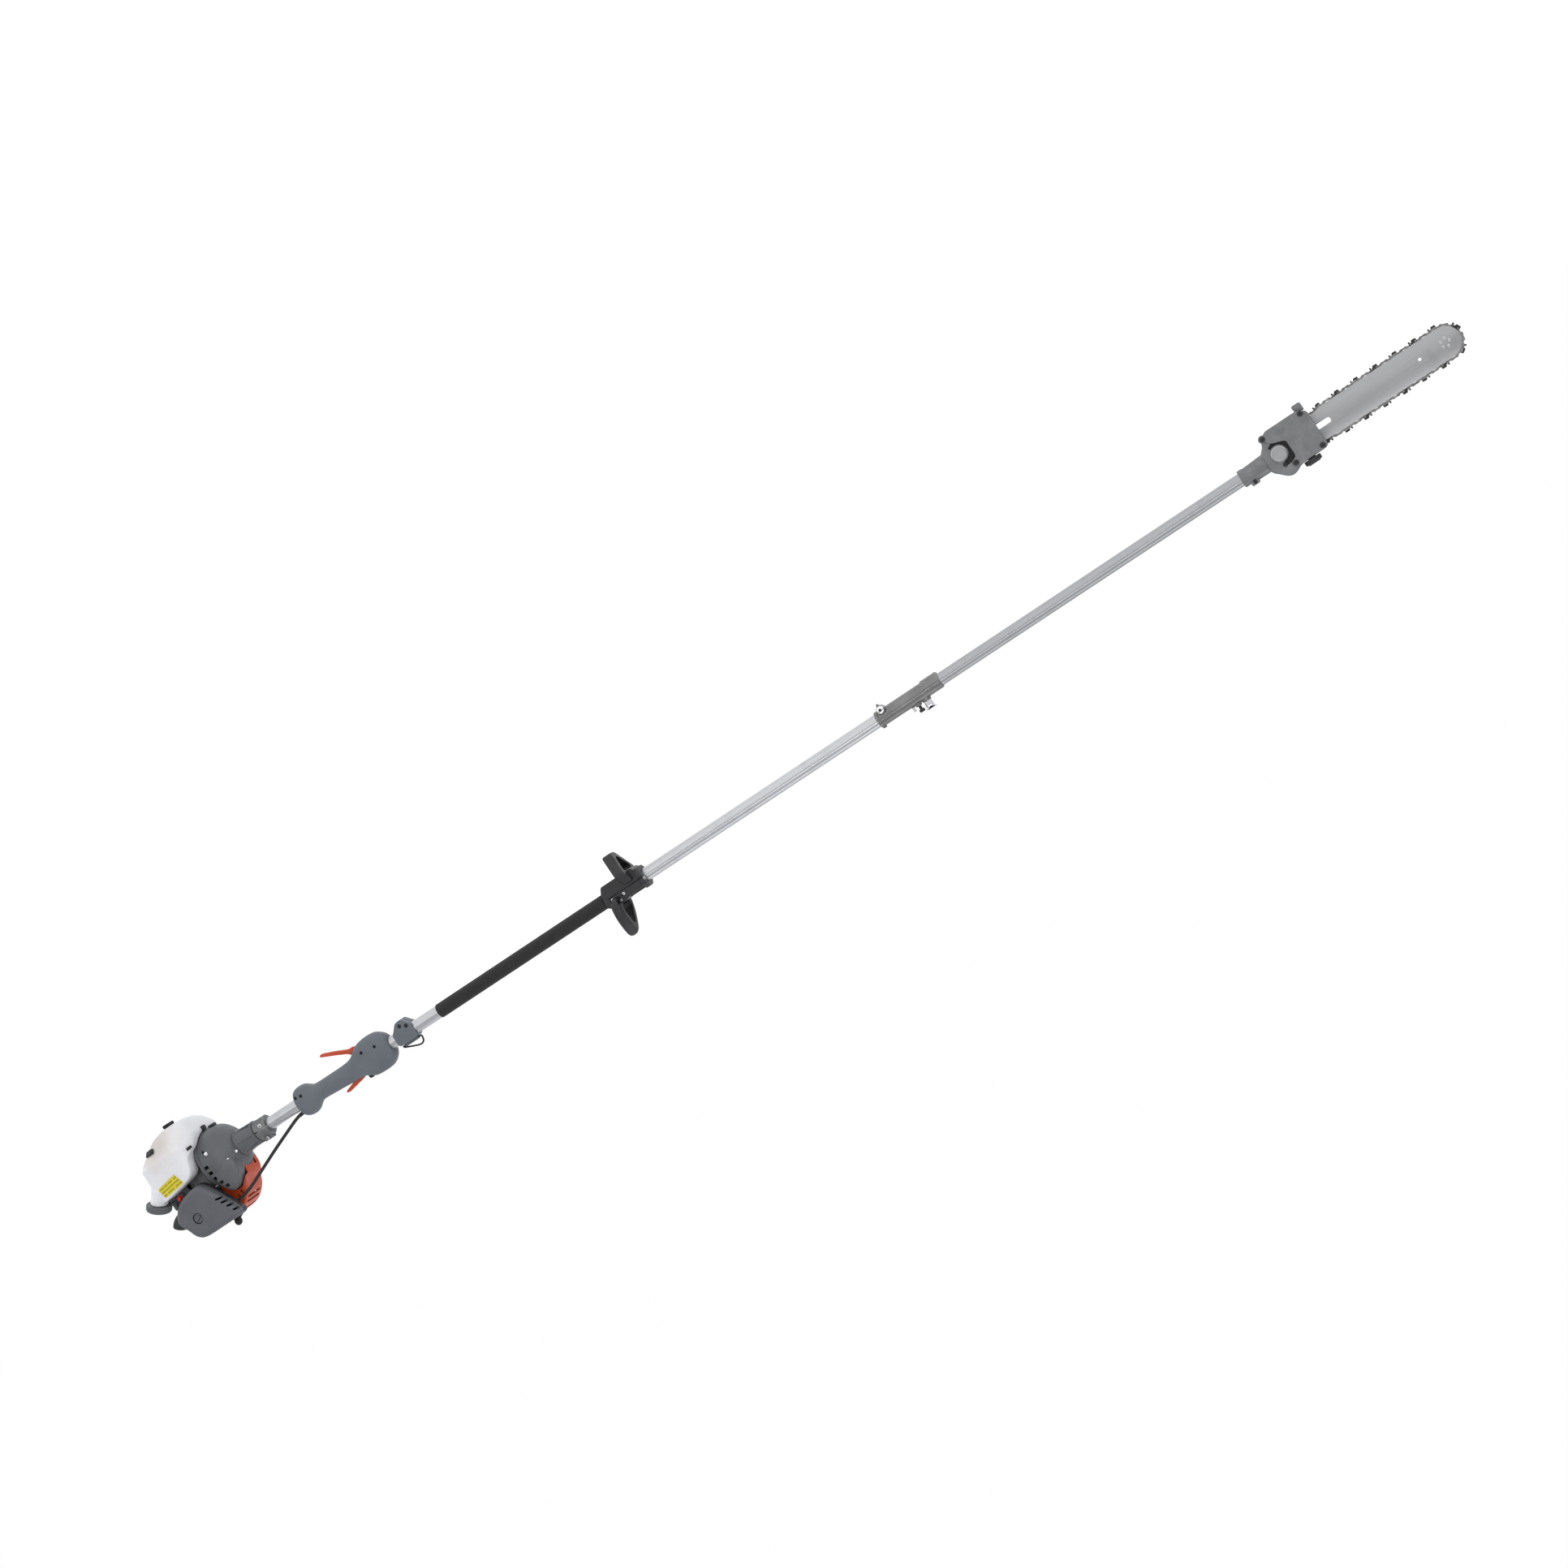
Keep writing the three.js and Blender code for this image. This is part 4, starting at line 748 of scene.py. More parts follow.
def engine_cover():
    s = span("cylinder_cover")
    outside = slab(COVER, s.y0, s.y1, round=13, edge=6)
    inside = slab(COVER_ROOM, s.y0 + 3, s.y1 - 3, round=12, edge=3)
    below = slab([(-60, 0), (-60, 50), (60, 50), (62, 20), (110, 28), (110, 0)], -60, 60)
    ports = [box(0, 45, 20, 50, 40, 84, 2), box(-4, 48, -60, -20, 40, 84, 2)]
    boot = rod(10.5, 10, 60, PLUG_AXIS, PLUG_SEAT)
    top = [box(x, x + 12, -30, 26, 112, 124, 1.5) for x in (-20, -3, 46)]
    louvres = [turned_about(box(66 + 9 * i, 72 + 9 * i, -26, 28, 60, 140, 1.5), Y, math.radians(38),
                            (69 + 9 * i, 0, 104 - 7 * i)) for i in range(2)]
    sides = []
    for y in (s.y0, s.y1):
        for i in range(3):
            slot = box(56 + 10 * i, 60 + 10 * i, y - 5, y + 5, 85 - 3 * i, 106 - 7 * i, 1.5)
            sides.append(turned_about(slot, Y, math.radians(24), (58 + 10 * i, 0, 92 - 5 * i)))
    nose = box(100, 112, -25, -17, 37, 51, 2)
    holes = [*ports, boot, *top, *louvres, *sides, nose]
    shell = cut(outside, inside, below, dome_solid(0.5), slab(DUCT_ROOM, 21, 60), *holes)
    piece("engine_cover", shell, "orange_plastic", ENGINE, "cylinder_cover", bevel=0.5, angle=45)


def muffler():
    s = span("muffler")
    can = slab(oblong(-8, 56, 42, 96), -80, -42.7, round=16, edge=8)
    seam = slab(oblong(-10, 58, 40, 98), -63, -61.2, round=17, edge=0.6)
    ribs = [box(0, 48, -81.2, -78, z, z + 4, 1) for z in (66, 75, 84)]
    spout = turned([(70, 8), (90, 8), (92, 8.8), (-s.y0, 8.4)], -Y, (40, 0, 56), 40)
    body = cut(fused(can, seam, *ribs, spout), rod(5.8, 74, 100, -Y, (40, 0, 56)))
    piece("muffler_can", body, "muffler_steel", ENGINE, "muffler", bevel=0.3)
    bolts = gathered(hex_head((4, -80, 52), -Y, 4, 3.6), hex_head((18, -80, 52), -Y, 4, 3.6))
    piece("muffler_bolts", bolts, "steel", ENGINE)


# The filter cover's outline in (x, z).
FILTER = [(88, 121), (-18, 122), (-34, 110), (-41, 90), (-52, 74), (-50, 60), (-34, 39), (-9, 28),
          (28, 21), (42, 33), (65, 71), (78, 98)]


def filter_points(inset):
    return [tuple(p) for p in inwards([Vector(c) for c in FILTER], inset)]


def air_filter():
    s = span("air_filter_cover")
    outside = softened(slab(FILTER, s.y0, s.y1, round=18, edge=9, steps=6), 1.2, 8)
    inside = slab(filter_points(6), s.y0 - 1, s.y1 - 3.5, round=14, edge=4)
    knob = span("air_filter_knob")
    place = (knob.x, 0, knob.z)
    radius = (knob.x1 - knob.x0) / 2
    well = rod(radius + 4, 80, s.y1 - 0.6, Y, place)
    seat = rod(radius + 0.8, knob.y0 - 0.6, s.y1 + 3, Y, place)
    vents = []
    for x, z in ((80, 105), (73, 92), (66, 80), (59, 69)):
        vents.append(turned_about(box(x - 8, x + 7, 78, 98, z - 2.2, z + 2.2, 1), Y, math.radians(-14),
                                  (x, 0, z)))
    frame_top = 72.5
    lower, upper = box(-100, 140, 40, frame_top, 0, 140), box(-100, 140, frame_top - 0.4, 120, 0, 140)
    shell = cut(fused(cut(outside, inside), well), seat, *vents, lower)
    piece("filter_cover", shell, "grey_plastic", ENGINE, "air_filter_cover", bevel=0.5, angle=45)
    rim = cut(slab(filter_points(-0.4), s.y0, s.y1, round=18, edge=1.5), inside, upper)
    piece("filter_frame", rim, "black_plastic", ENGINE, bevel=0.4, angle=45)
    body = turned([(knob.y0, radius), (knob.y1 - 5, radius), (knob.y1 - 3.6, radius - 1.4),
                   (knob.y1 - 4.4, radius - 3)], Y, place, 72, fluted(12, 0.07))
    grip = box(knob.x - 8, knob.x + 8, knob.y1 - 6, knob.y1 - 0.4, knob.z - 2, knob.z + 2, 1)
    piece("filter_knob", fused(body, turned_about(grip, Y, math.radians(30), place)), "grey_plastic",
          "filter_knob", "air_filter_knob", bevel=0.3)
    base = span("air_filter_base")
    plate = slab(filter_points(2.5), base.y0, base.y1, round=16, edge=1)
    ear = slab(oblong(-45, -19, 17.4, 66), base.y0, base.y1, round=6, edge=1)
    bulb = span("primer_bulb")
    hole = rod(7.2, 50, 64, Y, (bulb.x, 0, bulb.z))
    mouth = rod(7, 50, 64, Y, (CYLINDER_X, 0, PORT_HEIGHT))
    piece("filter_base", cut(fused(plate, ear), hole, mouth), "black_plastic", ENGINE,
          "air_filter_base", bevel=0.3)


def choke_and_primer():
    s = span("choke_lever")
    pivot = (-24, 0, 100)
    hub = turned([(50.5, 4), (55, 4), (55.6, 3.2)], Y, pivot, 40)
    arm = slab([(-21, 97), (-21, 103), (-50, 113), (-52, 110), (-50, 107)], s.y0, s.y0 + 3, round=3, edge=0.8)
    piece("choke_arm", fused(hub, arm), "black_plastic", "choke", "choke_lever", bevel=0.3)
    bulb = span("primer_bulb")
    radius, low = bulb.z1 - bulb.z, bulb.y0
    profile = [(low, 0), (low, radius), (low + 1.4, radius), (low + 1.6, radius - 0.8)]
    for k in range(1, 9):
        turn = k / 8 * math.pi / 2
        profile.append((low + 1.6 + 6.8 * math.sin(turn), (radius - 0.8) * math.cos(turn) ** 0.7))
    piece("primer", turned(profile, Y, (bulb.x, 0, bulb.z), 48), "red_plastic", "primer",
          "primer_bulb", angle=50)


STARTER_SLOTS = 14


def starter():
    s = span("starter_housing")
    radius, rear, front = -s.z0, s.x0, s.x1
    profile = [(rear, 0), (rear, radius - 12), (rear + 1.4, radius - 7), (rear + 4, radius - 3),
               (rear + 8, radius - 0.6), (rear + 13, radius), (front - 4, radius), (front, radius),
               (front, radius - 3), (rear + 13, radius - 3), (rear + 5, radius - 9), (rear + 3, 0)]
    rope = span("starter_rope")
    guide = turned([(25, 6.5), (42, 6), (44, 5)], Z, (rope.x, rope.y, 0), 32)
    shell = fused(turned(profile, sides=96), cut(guide, rod(radius - 3.2, rear + 8, front + 1)))
    slot = box(rear - 3, rear + 9, -1.7, 1.7, 12, radius - 9, 1)
    slots = [turned_about(slot, X, 2 * math.pi * i / STARTER_SLOTS) for i in range(STARTER_SLOTS)]
    shell = cut(shell, rod(2.6, 0, 50, Z, (rope.x, rope.y, 0), 24), *slots)
    hub = turned([(rear, 9), (rear + 3, 10)], sides=48)
    piece("starter_shell", fused(shell, hub), "dark_grey_plastic", ENGINE, "starter_housing", bevel=0.4)
    grip = span("starter_grip")
    wedge = [(-97, 71), (-90, 61), (-76, 52), (-64, 51), (-60, 66), (-62, 86), (-70, 88), (-86, 82)]
    bar = slab(inwards([Vector(c) for c in wedge], 0.8), grip.y0, grip.y1, round=9, edge=5, steps=6)
    ribs = [slab(wedge, y, y + 2, round=9, edge=0.9) for y in (17, 22.5, 35.5, 41)]
    spigot = rod(5, grip.z0, 60, Z, (rope.x, rope.y, 0), 32)
    bar = cut(fused(bar, *ribs, spigot), rod(2.2, 45, 57, Z, (rope.x, rope.y, 0), 24))
    piece("pull_grip", bar, "black_plastic", "starter_pull", "starter_grip")
    heights = [rope.z0 + (rope.z1 - rope.z0) * i / 24 for i in range(25)]
    cord, ripple = 1.75, 0.08
    twist = [(z, cord + ripple * math.sin(i * 2.1)) for i, z in enumerate(heights)]
    made = shown("pull_cord", turned(twist, Z, (rope.x, rope.y, 0), 20), "rope")
    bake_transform(made)
    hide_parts("starter_rope")


# ---- fuel tank ----
# The tank's outline in (x, z), seen from the side.
TANK = [(110, -66), (110, -120), (-110, -120), (-110, -20), (-62, 17), (-46, 17), (-4, 11), (24, 5),
        (37, -9), (41, -34), (60, -47), (63, -66)]
# The bowl's plan at each height: z, middle, half length, half width, corner radius.
BOWL = [(60, -7, 70, 85, 40), (-60, -7, 70, 85, 40), (-71, -2, 66, 80, 39), (-80, 2, 59, 74, 38),
        (-93, 5, 49, 63, 34), (-103, 7, 37, 50, 28), (-109.3, 8, 20, 30, 18)]
CAP_AXIS = Vector((-0.64, 0, 0.77)).normalized()
CAP = Vector((-75, 69, 13))
CAP_RADIUS, CAP_HEIGHT, CAP_FLUTES = 26, 15, 36


def plan(z, middle, length, width, corner, steps=8):
    """A rounded rectangle round the tank at one height."""
    points = []
    for quarter, (sx, sy) in enumerate(((1, 1), (-1, 1), (-1, -1), (1, -1))):
        for k in range(steps + 1):
            angle = math.radians(90 * (quarter + k / steps))
            points.append(Vector((middle + sx * (length - corner) + corner * math.cos(angle),
                                  sy * (width - corner) + corner * math.sin(angle), z)))
    return points


def fuel_tank():
    s = span("fuel_tank")
    sides = slab(TANK, s.y0, s.y1, round=14, edge=9, steps=6)
    body = combined(sides, [skinned([plan(*level) for level in BOWL])], "INTERSECT")
    half_channel, channel_floor, starter_room = 46, -54, 42.2
    channel = box(-130, 44, -half_channel, half_channel, channel_floor, 60, 3)
    neck = turned([(-34, 18), (-0.4, 18)], CAP_AXIS, CAP, 48)
    shroud_room = [dome_solid(1.5), rod(LIP_RADIUS + 1.1, 44, 53, sides=96)]
    tank = cut(fused(body, neck), channel, rod(starter_room, -140, 0), *shroud_room)
    tank = softened(tank, 2.0, 7)
    piece("tank", tank, "tank_white", ENGINE, "fuel_tank", angle=60)
    return tank


def laid_on(target, corners, columns, rows, above, thickness):
    """A thin sheet over four (x, z) corners, laid on the left side of a surface that is in metres."""
    ground = bmesh.new()
    ground.from_mesh(target)
    tree = BVHTree.FromBMesh(ground)
    ground.free()
    a, b, c, d = [Vector((x, 0, z)) for x, z in corners]
    sheets = []
    for lift in (above, above + thickness):
        points = []
        for i in range(rows + 1):
            for j in range(columns + 1):
                u, v = j / columns, i / rows
                p = (a * (1 - u) + b * u) * (1 - v) + (d * (1 - u) + c * u) * v
                start = TO_METRES @ Vector((p.x, 200, p.z))
                hit, normal, _, _ = tree.ray_cast(start, -Y)
                points.append(TO_METRES.inverted() @ hit + normal * lift)
        sheets.append(points)
    width, count = columns + 1, (columns + 1) * (rows + 1)
    faces = []
    for i in range(rows):
        for j in range(columns):
            k = i * width + j
            faces += [(k, k + 1, k + 1 + width, k + width),
                      (count + k, count + k + 1, count + k + 1 + width, count + k + width)]
    rim = [*range(width), *[(i + 1) * width - 1 for i in range(1, rows + 1)],
           *range(count - 2, count - width - 1, -1), *[i * width for i in range(rows - 1, 0, -1)]]
    for k, here in enumerate(rim):
        there = rim[(k + 1) % len(rim)]
        faces.append((here, there, there + count, here + count))
    return mesh_of([*sheets[0], *sheets[1]], faces)


def tank_fittings(tank):
    label = laid_on(tank, [(9, 3.5), (1, -21.5), (-49, -13), (-44, 10)], 10, 20, 0.15, 0.25)
    piece("label", label, "sticker_yellow", ENGINE, angle=60)
    radius, height = CAP_RADIUS, CAP_HEIGHT
    body = turned([(0, radius - 0.6), (0.8, radius), (height - 5, radius), (height - 2, radius - 1.6),
                   (height, radius - 5), (height, radius - 8), (height - 2, radius - 10)],
                  CAP_AXIS, CAP, 4 * CAP_FLUTES, fluted(CAP_FLUTES, 0.045))
    middle = CAP + CAP_AXIS * (height - 2.4)
    grip = box(-9, 9, -2.4, 2.4, 0, 3.2, 1)
    grip.transform(Matrix.Translation(middle) @ Z.rotation_difference(CAP_AXIS).to_matrix().to_4x4())
    piece("filler_cap", fused(body, grip), "dark_grey_plastic", "tank_cap", "fuel_cap", bevel=0.25)
    foot = span("tank_foot_pad")
    pad = box(foot.x0, foot.x1, foot.y0, foot.y1, foot.z0, foot.z1, 1.6)
    grooves = [box(foot.x0 - 1, foot.x1 + 1, y - 0.8, y + 0.8, foot.z0 - 1, foot.z0 + 1.2)
               for y in (-6, -2, 2, 6)]
    piece("foot_pad", cut(pad, *grooves), "rubber", ENGINE, "tank_foot_pad", bevel=0.4)
    buffers_and_painted_shadow = gathered(
        box(56, 67, -8, 8, -74, -64, 2), box(77, 90, -8, 8, -66, -58, 2),
        # Painted shadow: this pad is a dark rubber sheet on the tank under the crankcase, standing in for the
        # shaded gap there. The other buffers are rubber mounts.
        laid_on(tank, [(50, -45.5), (50, -51.5), (57, -52.5), (57, -47.5)], 6, 6, -0.6, 3.5),
        laid_on(tank, [(-17, -79), (-17, -87.5), (-38, -87.5), (-38, -79)], 8, 12, -0.6, 4.5),
    )
    piece("tank_buffers_and_painted_shadow", buffers_and_painted_shadow, "rubber", ENGINE)


# ---- throttle handle ----
# Stations of x, low z, high z, half width and section power.
HANDLE = [
    (277, -13, 13, 15.6, 2.6), (278.3, -20, 22, 17.5, 2.6), (282.5, -27, 29, 19.4, 2.6),
    (291, -30.5, 33, 20, 2.6), (301, -31, 34, 20, 2.6), (310, -29, 31.5, 19.8, 2.6),
    (318, -24, 26, 19, 2.5), (326, -19, 21.5, 18, 2.4), (336, -17, 20, 17.6, 2.4),
    (370, -16.6, 22, 17.8, 2.4), (405, -16.8, 24.2, 18.2, 2.4), (424, -19, 25, 18.8, 2.5),
    (436, -24, 26.5, 19.4, 2.6), (448, -32.5, 31, 19.9, 2.8), (460, -37.5, 38, 20, 3),
    (476, -40, 40, 20, 3), (490, -40, 40, 20, 3), (502, -38, 38.5, 20, 3), (511, -33, 34, 19.4, 3),
    (518.6, -26.5, 27, 18.6, 2.8), (522, -20.5, 20.5, 17.4, 2.6), (523, -17, 17, 16.4, 2.4),
]


HALF_SEAM = 0.15
GRIP_SCREWS = [(496, -13), (464, -17), (299, -12), (286, -14)]


def throttle_handle():
    stations = smooth_path([(x, low, high) for x, low, high, _, _ in HANDLE], 4)
    widths = smooth_path([(half, power, 0) for _, _, _, half, power in HANDLE], 4)
    body = lofted([(p.x, p.y, p.z, w.x, w.y) for p, w in zip(stations, widths)])
    trigger_slot = box(424, 466, -5.8, 5.8, -48, -16, 1)
    top_slot = box(374, 457, -4.7, 4.7, 16.5, 48, 1)
    holes = left_wells(GRIP_SCREWS, 3.6, 13, 30)
    cable_hole = rod(4.2, 268, 300, X, (0, 0, 19), 32)
    body = cut(body, rod(BORE, 260, 540, sides=72), trigger_slot, top_slot, cable_hole, *holes)
    for name, side, node in (("left_grip_shell", 1, "throttle_handle_left_shell"),
                             ("right_grip_shell", -1, "throttle_handle_right_shell")):
        other_side = sorted((-60 * side, HALF_SEAM * side))
        away = box(200, 600, *other_side, -90, 90)
        piece(name, cut(body.copy(), away), "handle_grey", ENGINE, node, bevel=0.35, angle=50)
    piece("grip_screws", gathered(*left_screws(GRIP_SCREWS, 14, 3.2, 2.4)), "black_plastic", ENGINE)


def trigger_parts():
    blade = slab([(453, -20.5), (454, -31), (447, -38), (436, -37), (404, -51), (379, -60), (374, -57.5),
                  (376, -54), (402, -43), (430, -30), (440, -20.5)], -5, 5, round=5, edge=1.6)
    piece("trigger_blade", blade, "orange_plastic", "trigger", "throttle_trigger")
    lock = slab([(433, 19), (433, 27.5), (424, 29.5), (386, 36), (381.5, 34), (382, 31), (420, 19)], -4, 4,
                round=3, edge=1.2)
    ridges = [box(388 + 5 * i, 389.6 + 5 * i, -3.2, 3.2, 34.5 - 0.85 * i, 36 - 0.85 * i, 0.4)
              for i in range(5)]
    piece("lockout_blade", fused(lock, *ridges), "orange_plastic", "lockout", "lockout_lever")
    switch = slab([(442, 20), (442, 34.5), (444, 36), (450, 37), (450, 20)], -4, 4, round=1.5, edge=0.8)
    piece("switch_slider", switch, "black_plastic", "switch", "stop_switch")


# The cable's route, from inside the handle to the carburettor.
CABLE = [
    (282, 0, 19), (268, 0.5, 19.3), (252, 4, 23), (222, 14, 35.5), (186, 25, 51), (142, 38, 71),
    (112, 46, 84.5), (84, 49, 92.5), (56, 49, 95), (36, 47.5, 90.5), (29, 46.7, 83.5),
]


def throttle_cable():
    path = smooth_path(CABLE, 10)
    sheath = swept(path, oval(3.4, 3.4, 20), Y)
    sleeves = []
    for ends, radius in ((path[:14], 4.1), (path[-8:], 4.3)):
        sleeves.append(swept(ends, oval(radius, radius, 24), Y))
    piece("cable_sheath", fused(sheath, *sleeves), "rubber", ENGINE, "throttle_cable", bevel=0.3)


# ---- harness hanger ----
HANGER_SCREWS = [(577, -13), (564, -19)]
HANGER_SHIFT = 3


def harness_hanger():
    s = span("harness_clamp")
    rear, front = s.x0 + HANGER_SHIFT, s.x1 + HANGER_SHIFT
    corners = [(rear, -9), (rear, 12), (rear + 5, 17), (front - 5, 17), (front, 12), (front, -11),
               (front - 17, s.z0), (front - 21, s.z0), (rear + 18, -28)]
    body = slab(corners, s.y0, s.y1, round=2.5, edge=1.6)
    ridge = box(548, 578, -5.5, 5.5, 10, 18, 1.5)
    leg_height = span("harness_ring").z0 + 1.5
    saddle = rod(3.2, 546, 580, X, (0, 0, leg_height), 32)
    hole = rod(2.1, 530, 590, X, (0, 0, leg_height), 24)
    body = cut(fused(body, ridge, saddle), rod(BORE, 530, 590), hole,
               box(530, 590, -0.9, 0.9, -40, 0), *left_wells(HANGER_SCREWS, 4.4, 12.5, 30))
    piece("hanger_clamp", body, "handle_grey", ENGINE, "harness_clamp", bevel=0.4)
    piece("hanger_screws", gathered(*left_screws(HANGER_SCREWS, 12.5, 3.9, 3)), "black_plastic", ENGINE)
    bow = [(540.5, 0, leg_height), (542, 0, 22), (548, 0, 24.6), (560, 0, 29.5), (572, 0, 33.6),
           (579, 0, 33.8), (584, 0, 30.6), (585.8, 0, 25.5), (585.6, 0, leg_height)]
    loop = [Vector(p) for p in bow] + [Vector((575, 0, leg_height)), Vector((563, 0, leg_height)),
                                       Vector((551, 0, leg_height))]
    wire = swept(smooth_path(loop, 6, closed=True), oval(1.8, 1.8, 16), Y, closed=True)
    piece("hanger_ring", wire, "dark_steel", "hanger_ring", "harness_ring")


# ---- loop handle ----
def mirrored(half):
    """The whole outline from its half on the user's left."""
    return half + [(-y, z) for y, z in reversed(half)]


def loop_frame(corners, inner, x0, x1, edge, round, lean):
    """A frame between two (y, z) outlines, leaning along X by `lean` for each millimetre of height."""
    outside = slab(corners, x0, x1, round, edge, plane="yz", steps=6)
    inside = slab(inner, x0 - 20, x1 + 20, round * 0.7, 0, plane="yz")
    made = cut(outside, inside)
    made.transform(Matrix(((1, 0, -lean, 0), (0, 1, 0, 0), (0, 0, 1, 0), (0, 0, 0, 1))))
    return made


LOOP_BOLTS = [(1102, 15), (1114, 7), (1088, 6)]


def loop_handles():
    top, low = span("loop_handle"), span("loop_handle_cap")
    bore = rod(BORE, 1060, 1180, sides=72)
    above = box(1000, 1200, -100, 100, -HALF_SEAM, 100)
    below = box(1000, 1200, -100, 100, -100, HALF_SEAM)
    upper = loop_frame(mirrored([(9, 86), (26, 66), (38, 46), (43, 26), (41, 4)]),
                       mirrored([(4, 66), (13, 54), (23, 40), (27, 28), (22, 21)]), 1085, 1107, 9, 14, 0.18)
    upper = softened(upper, 1.1, 10)
    block = slab([(top.x0, 0), (top.x0, 14), (1076, 19), (1112, 22), (1122, 18), (1157, 17), (1158, 0)],
                 -22, 22, round=5, edge=3)
    flange = slab([(-26, 0), (-26, 13), (-12, 23), (12, 23), (26, 13), (26, 0)], 1156, 1166, 5, 1.8, "yz")
    ribs = [box(1120, 1156, y - 1.4, y + 1.4, 12, 20.5, 0.8) for y in (-9, 0, 9)]
    body = cut(fused(upper, block, flange, *ribs), bore, below, *left_wells(LOOP_BOLTS, 4.6, 17, 40))
    piece("loop_upper", body, "black_plastic", ENGINE, "loop_handle", bevel=0.4, angle=45)
    lower = loop_frame(mirrored([(30, -6), (40, -28), (13, -73)]),
                       mirrored([(22, -28.5), (24, -33), (5, -60)]), 1128, 1150, 4, 6, -0.22)
    block = slab([(low.x0, 0), (low.x0, -12), (1081, -27), (1152, -27), (1158, -22), (1158, 0)], -22, 22,
                 round=4, edge=2)
    flange = slab([(-26, 0), (-26, -12), (-12, -22), (12, -22), (26, -12), (26, 0)], 1156, 1166, 5, 1.8, "yz")
    body = cut(fused(softened(lower, 1.1, 3), block, flange), bore, above)
    piece("loop_lower", body, "black_plastic", ENGINE, "loop_handle_cap", bevel=0.4, angle=45)
    bolts = left_screws(LOOP_BOLTS, 17.2, 4.2, 3.6)
    bolts += [hex_head((1166, y, 4), X, 3.4, 3) for y in (-19.5, 19.5)]
    piece("loop_bolts", gathered(*bolts), "steel", ENGINE)


# ---- telescope coupler ----
BOLT_X, BOLT_Z = 1733, -14
TUBE_STEP = 1822


def coupler():
    s = span("coupler_sleeve")
    knob, pin = span("coupler_knob"), span("coupler_lock_pin")
    step, end, sleeve, collar = TUBE_STEP, s.x1, 15.6, 18
    body = turned([(s.x0, 14.6), (s.x0 + 1, sleeve + 1), (s.x0 + 7, sleeve + 1), (s.x0 + 8, sleeve),
                   (end - 2, sleeve), (end, sleeve - 2)], sides=80)
    low_collar = turned([(step - 4, collar - 4), (step, collar - 1.2), (end - 2, collar - 1.2),
                         (end, collar - 3.2)], X, (0, 0, -1.2), 80)
    post = turned([(8, 10), (15.6, 9), (20, 8.5)], Z, (knob.x, 0, 0), 48)
    guide = turned([(8, 7.5), (15, 6.4), (20, 6)], Z, (pin.x, 0, 0), 40)
    bridge = slab([(1776, 10), (1782, 17), (1822, 18), (1830, 10)], -5, 5, round=3, edge=1.2)
    boss = turned([(0, 9), (16, 8.6), (17, 7.8)], Y, (BOLT_X, 0, BOLT_Z), 40)
    spur = slab([(1727, -14), (1730, -27), (1733, -27), (1739, -14)], 4, 13, round=2, edge=1)
    rear_boss = rod(4, 8, 19, Z, (1720, 0, 0), 32)
    bores = fused(rod(BORE, s.x0 - 1, step - 0.1, sides=80),
                  rod(FRONT_RADIUS + 0.3, step - 1, end + 1, sides=80))
    holes = [rod(4.4, 0, 40, Z, (knob.x, 0, 0), 32), rod(3.4, 0, 40, Z, (pin.x, 0, 0), 32),
             side_rod(5.2, 12, 20, BOLT_X, BOLT_Z)]
    body = cut(fused(body, low_collar, post, guide, bridge, boss, spur, rear_boss), bores, *holes)
    piece("coupler_body", body, "coupler_grey", ENGINE, "coupler_sleeve", bevel=0.4)
    bolt_seat = (BOLT_X, 12.2, BOLT_Z)
    stop_pin = turned([(14, 2.5), (25.2, 2.5), (26, 1.8)], Z, (1784, 0, 0), 24)
    bolt = turned([(0, 4.8), (4.8, 4.8), (4.8, 7.6), (6.8, 7), (7.6, 5.6)], Y,
                  bolt_seat, 40)
    bolt = cut(bolt, rod(3.1, 0.6, 9, Y, bolt_seat, 6))
    piece("coupler_bolt", gathered(bolt, stop_pin), "chrome", ENGINE)
    # Painted shade: a black insert in the bolt's hexagon socket, darkening the recess.
    socket = cut(rod(2.9, 0.8, 6.4, Y, bolt_seat, 6), rod(1.6, 3, 9, Y, bolt_seat, 6))
    piece("coupler_socket_painted_shade", socket, "black_plastic", ENGINE)
    hub = turned([(14.2, 4), (20.4, 4), (20.6, 8), (29, 8), (31, 6.4)], Z, (knob.x, 0, 0), 48)
    half = [(-8, 25), (-10, 35), (-8.6, 37), (-4, 36.6), (0, 31)]
    wing = half + [(-x, z) for x, z in reversed(half[:4])]
    wings = slab([(knob.x + x, z) for x, z in wing], -2.6, 2.6, round=3, edge=1.2)
    piece("wing_knob", fused(hub, wings), "chrome", "clamp_knob", "coupler_knob", bevel=0.3)
    button = turned([(14.2, 3), (26.5, 3), (26.5, 5), (27.5, 5.6), (31, 5.6), (32.6, 4.6)],
                    Z, (pin.x, 0, 0), 48)
    piece("lock_button", button, "black_plastic", "lock_pin", "coupler_lock_pin", angle=50)


# ---- gear head ----
# Outlines of the gear casing and its lid in (x, z).
HEAD = [(2556, -18), (2556, 19), (2566, 30), (2579, 43), (2592, 44), (2606, 36), (2663, 35), (2663, -39),
        (2646, -48), (2582, -48), (2570, -38), (2564, -24)]
LID = [(2594, 35), (2663, 34), (2663, -39), (2646, -48), (2582, -48), (2571, -38), (2580, -24), (2606, -15),
       (2606, 19), (2594, 22)]
STUD = (span("bar_nut").x, 0, -3)
LUG_X, LUG_Z = 2573.5, -38.5


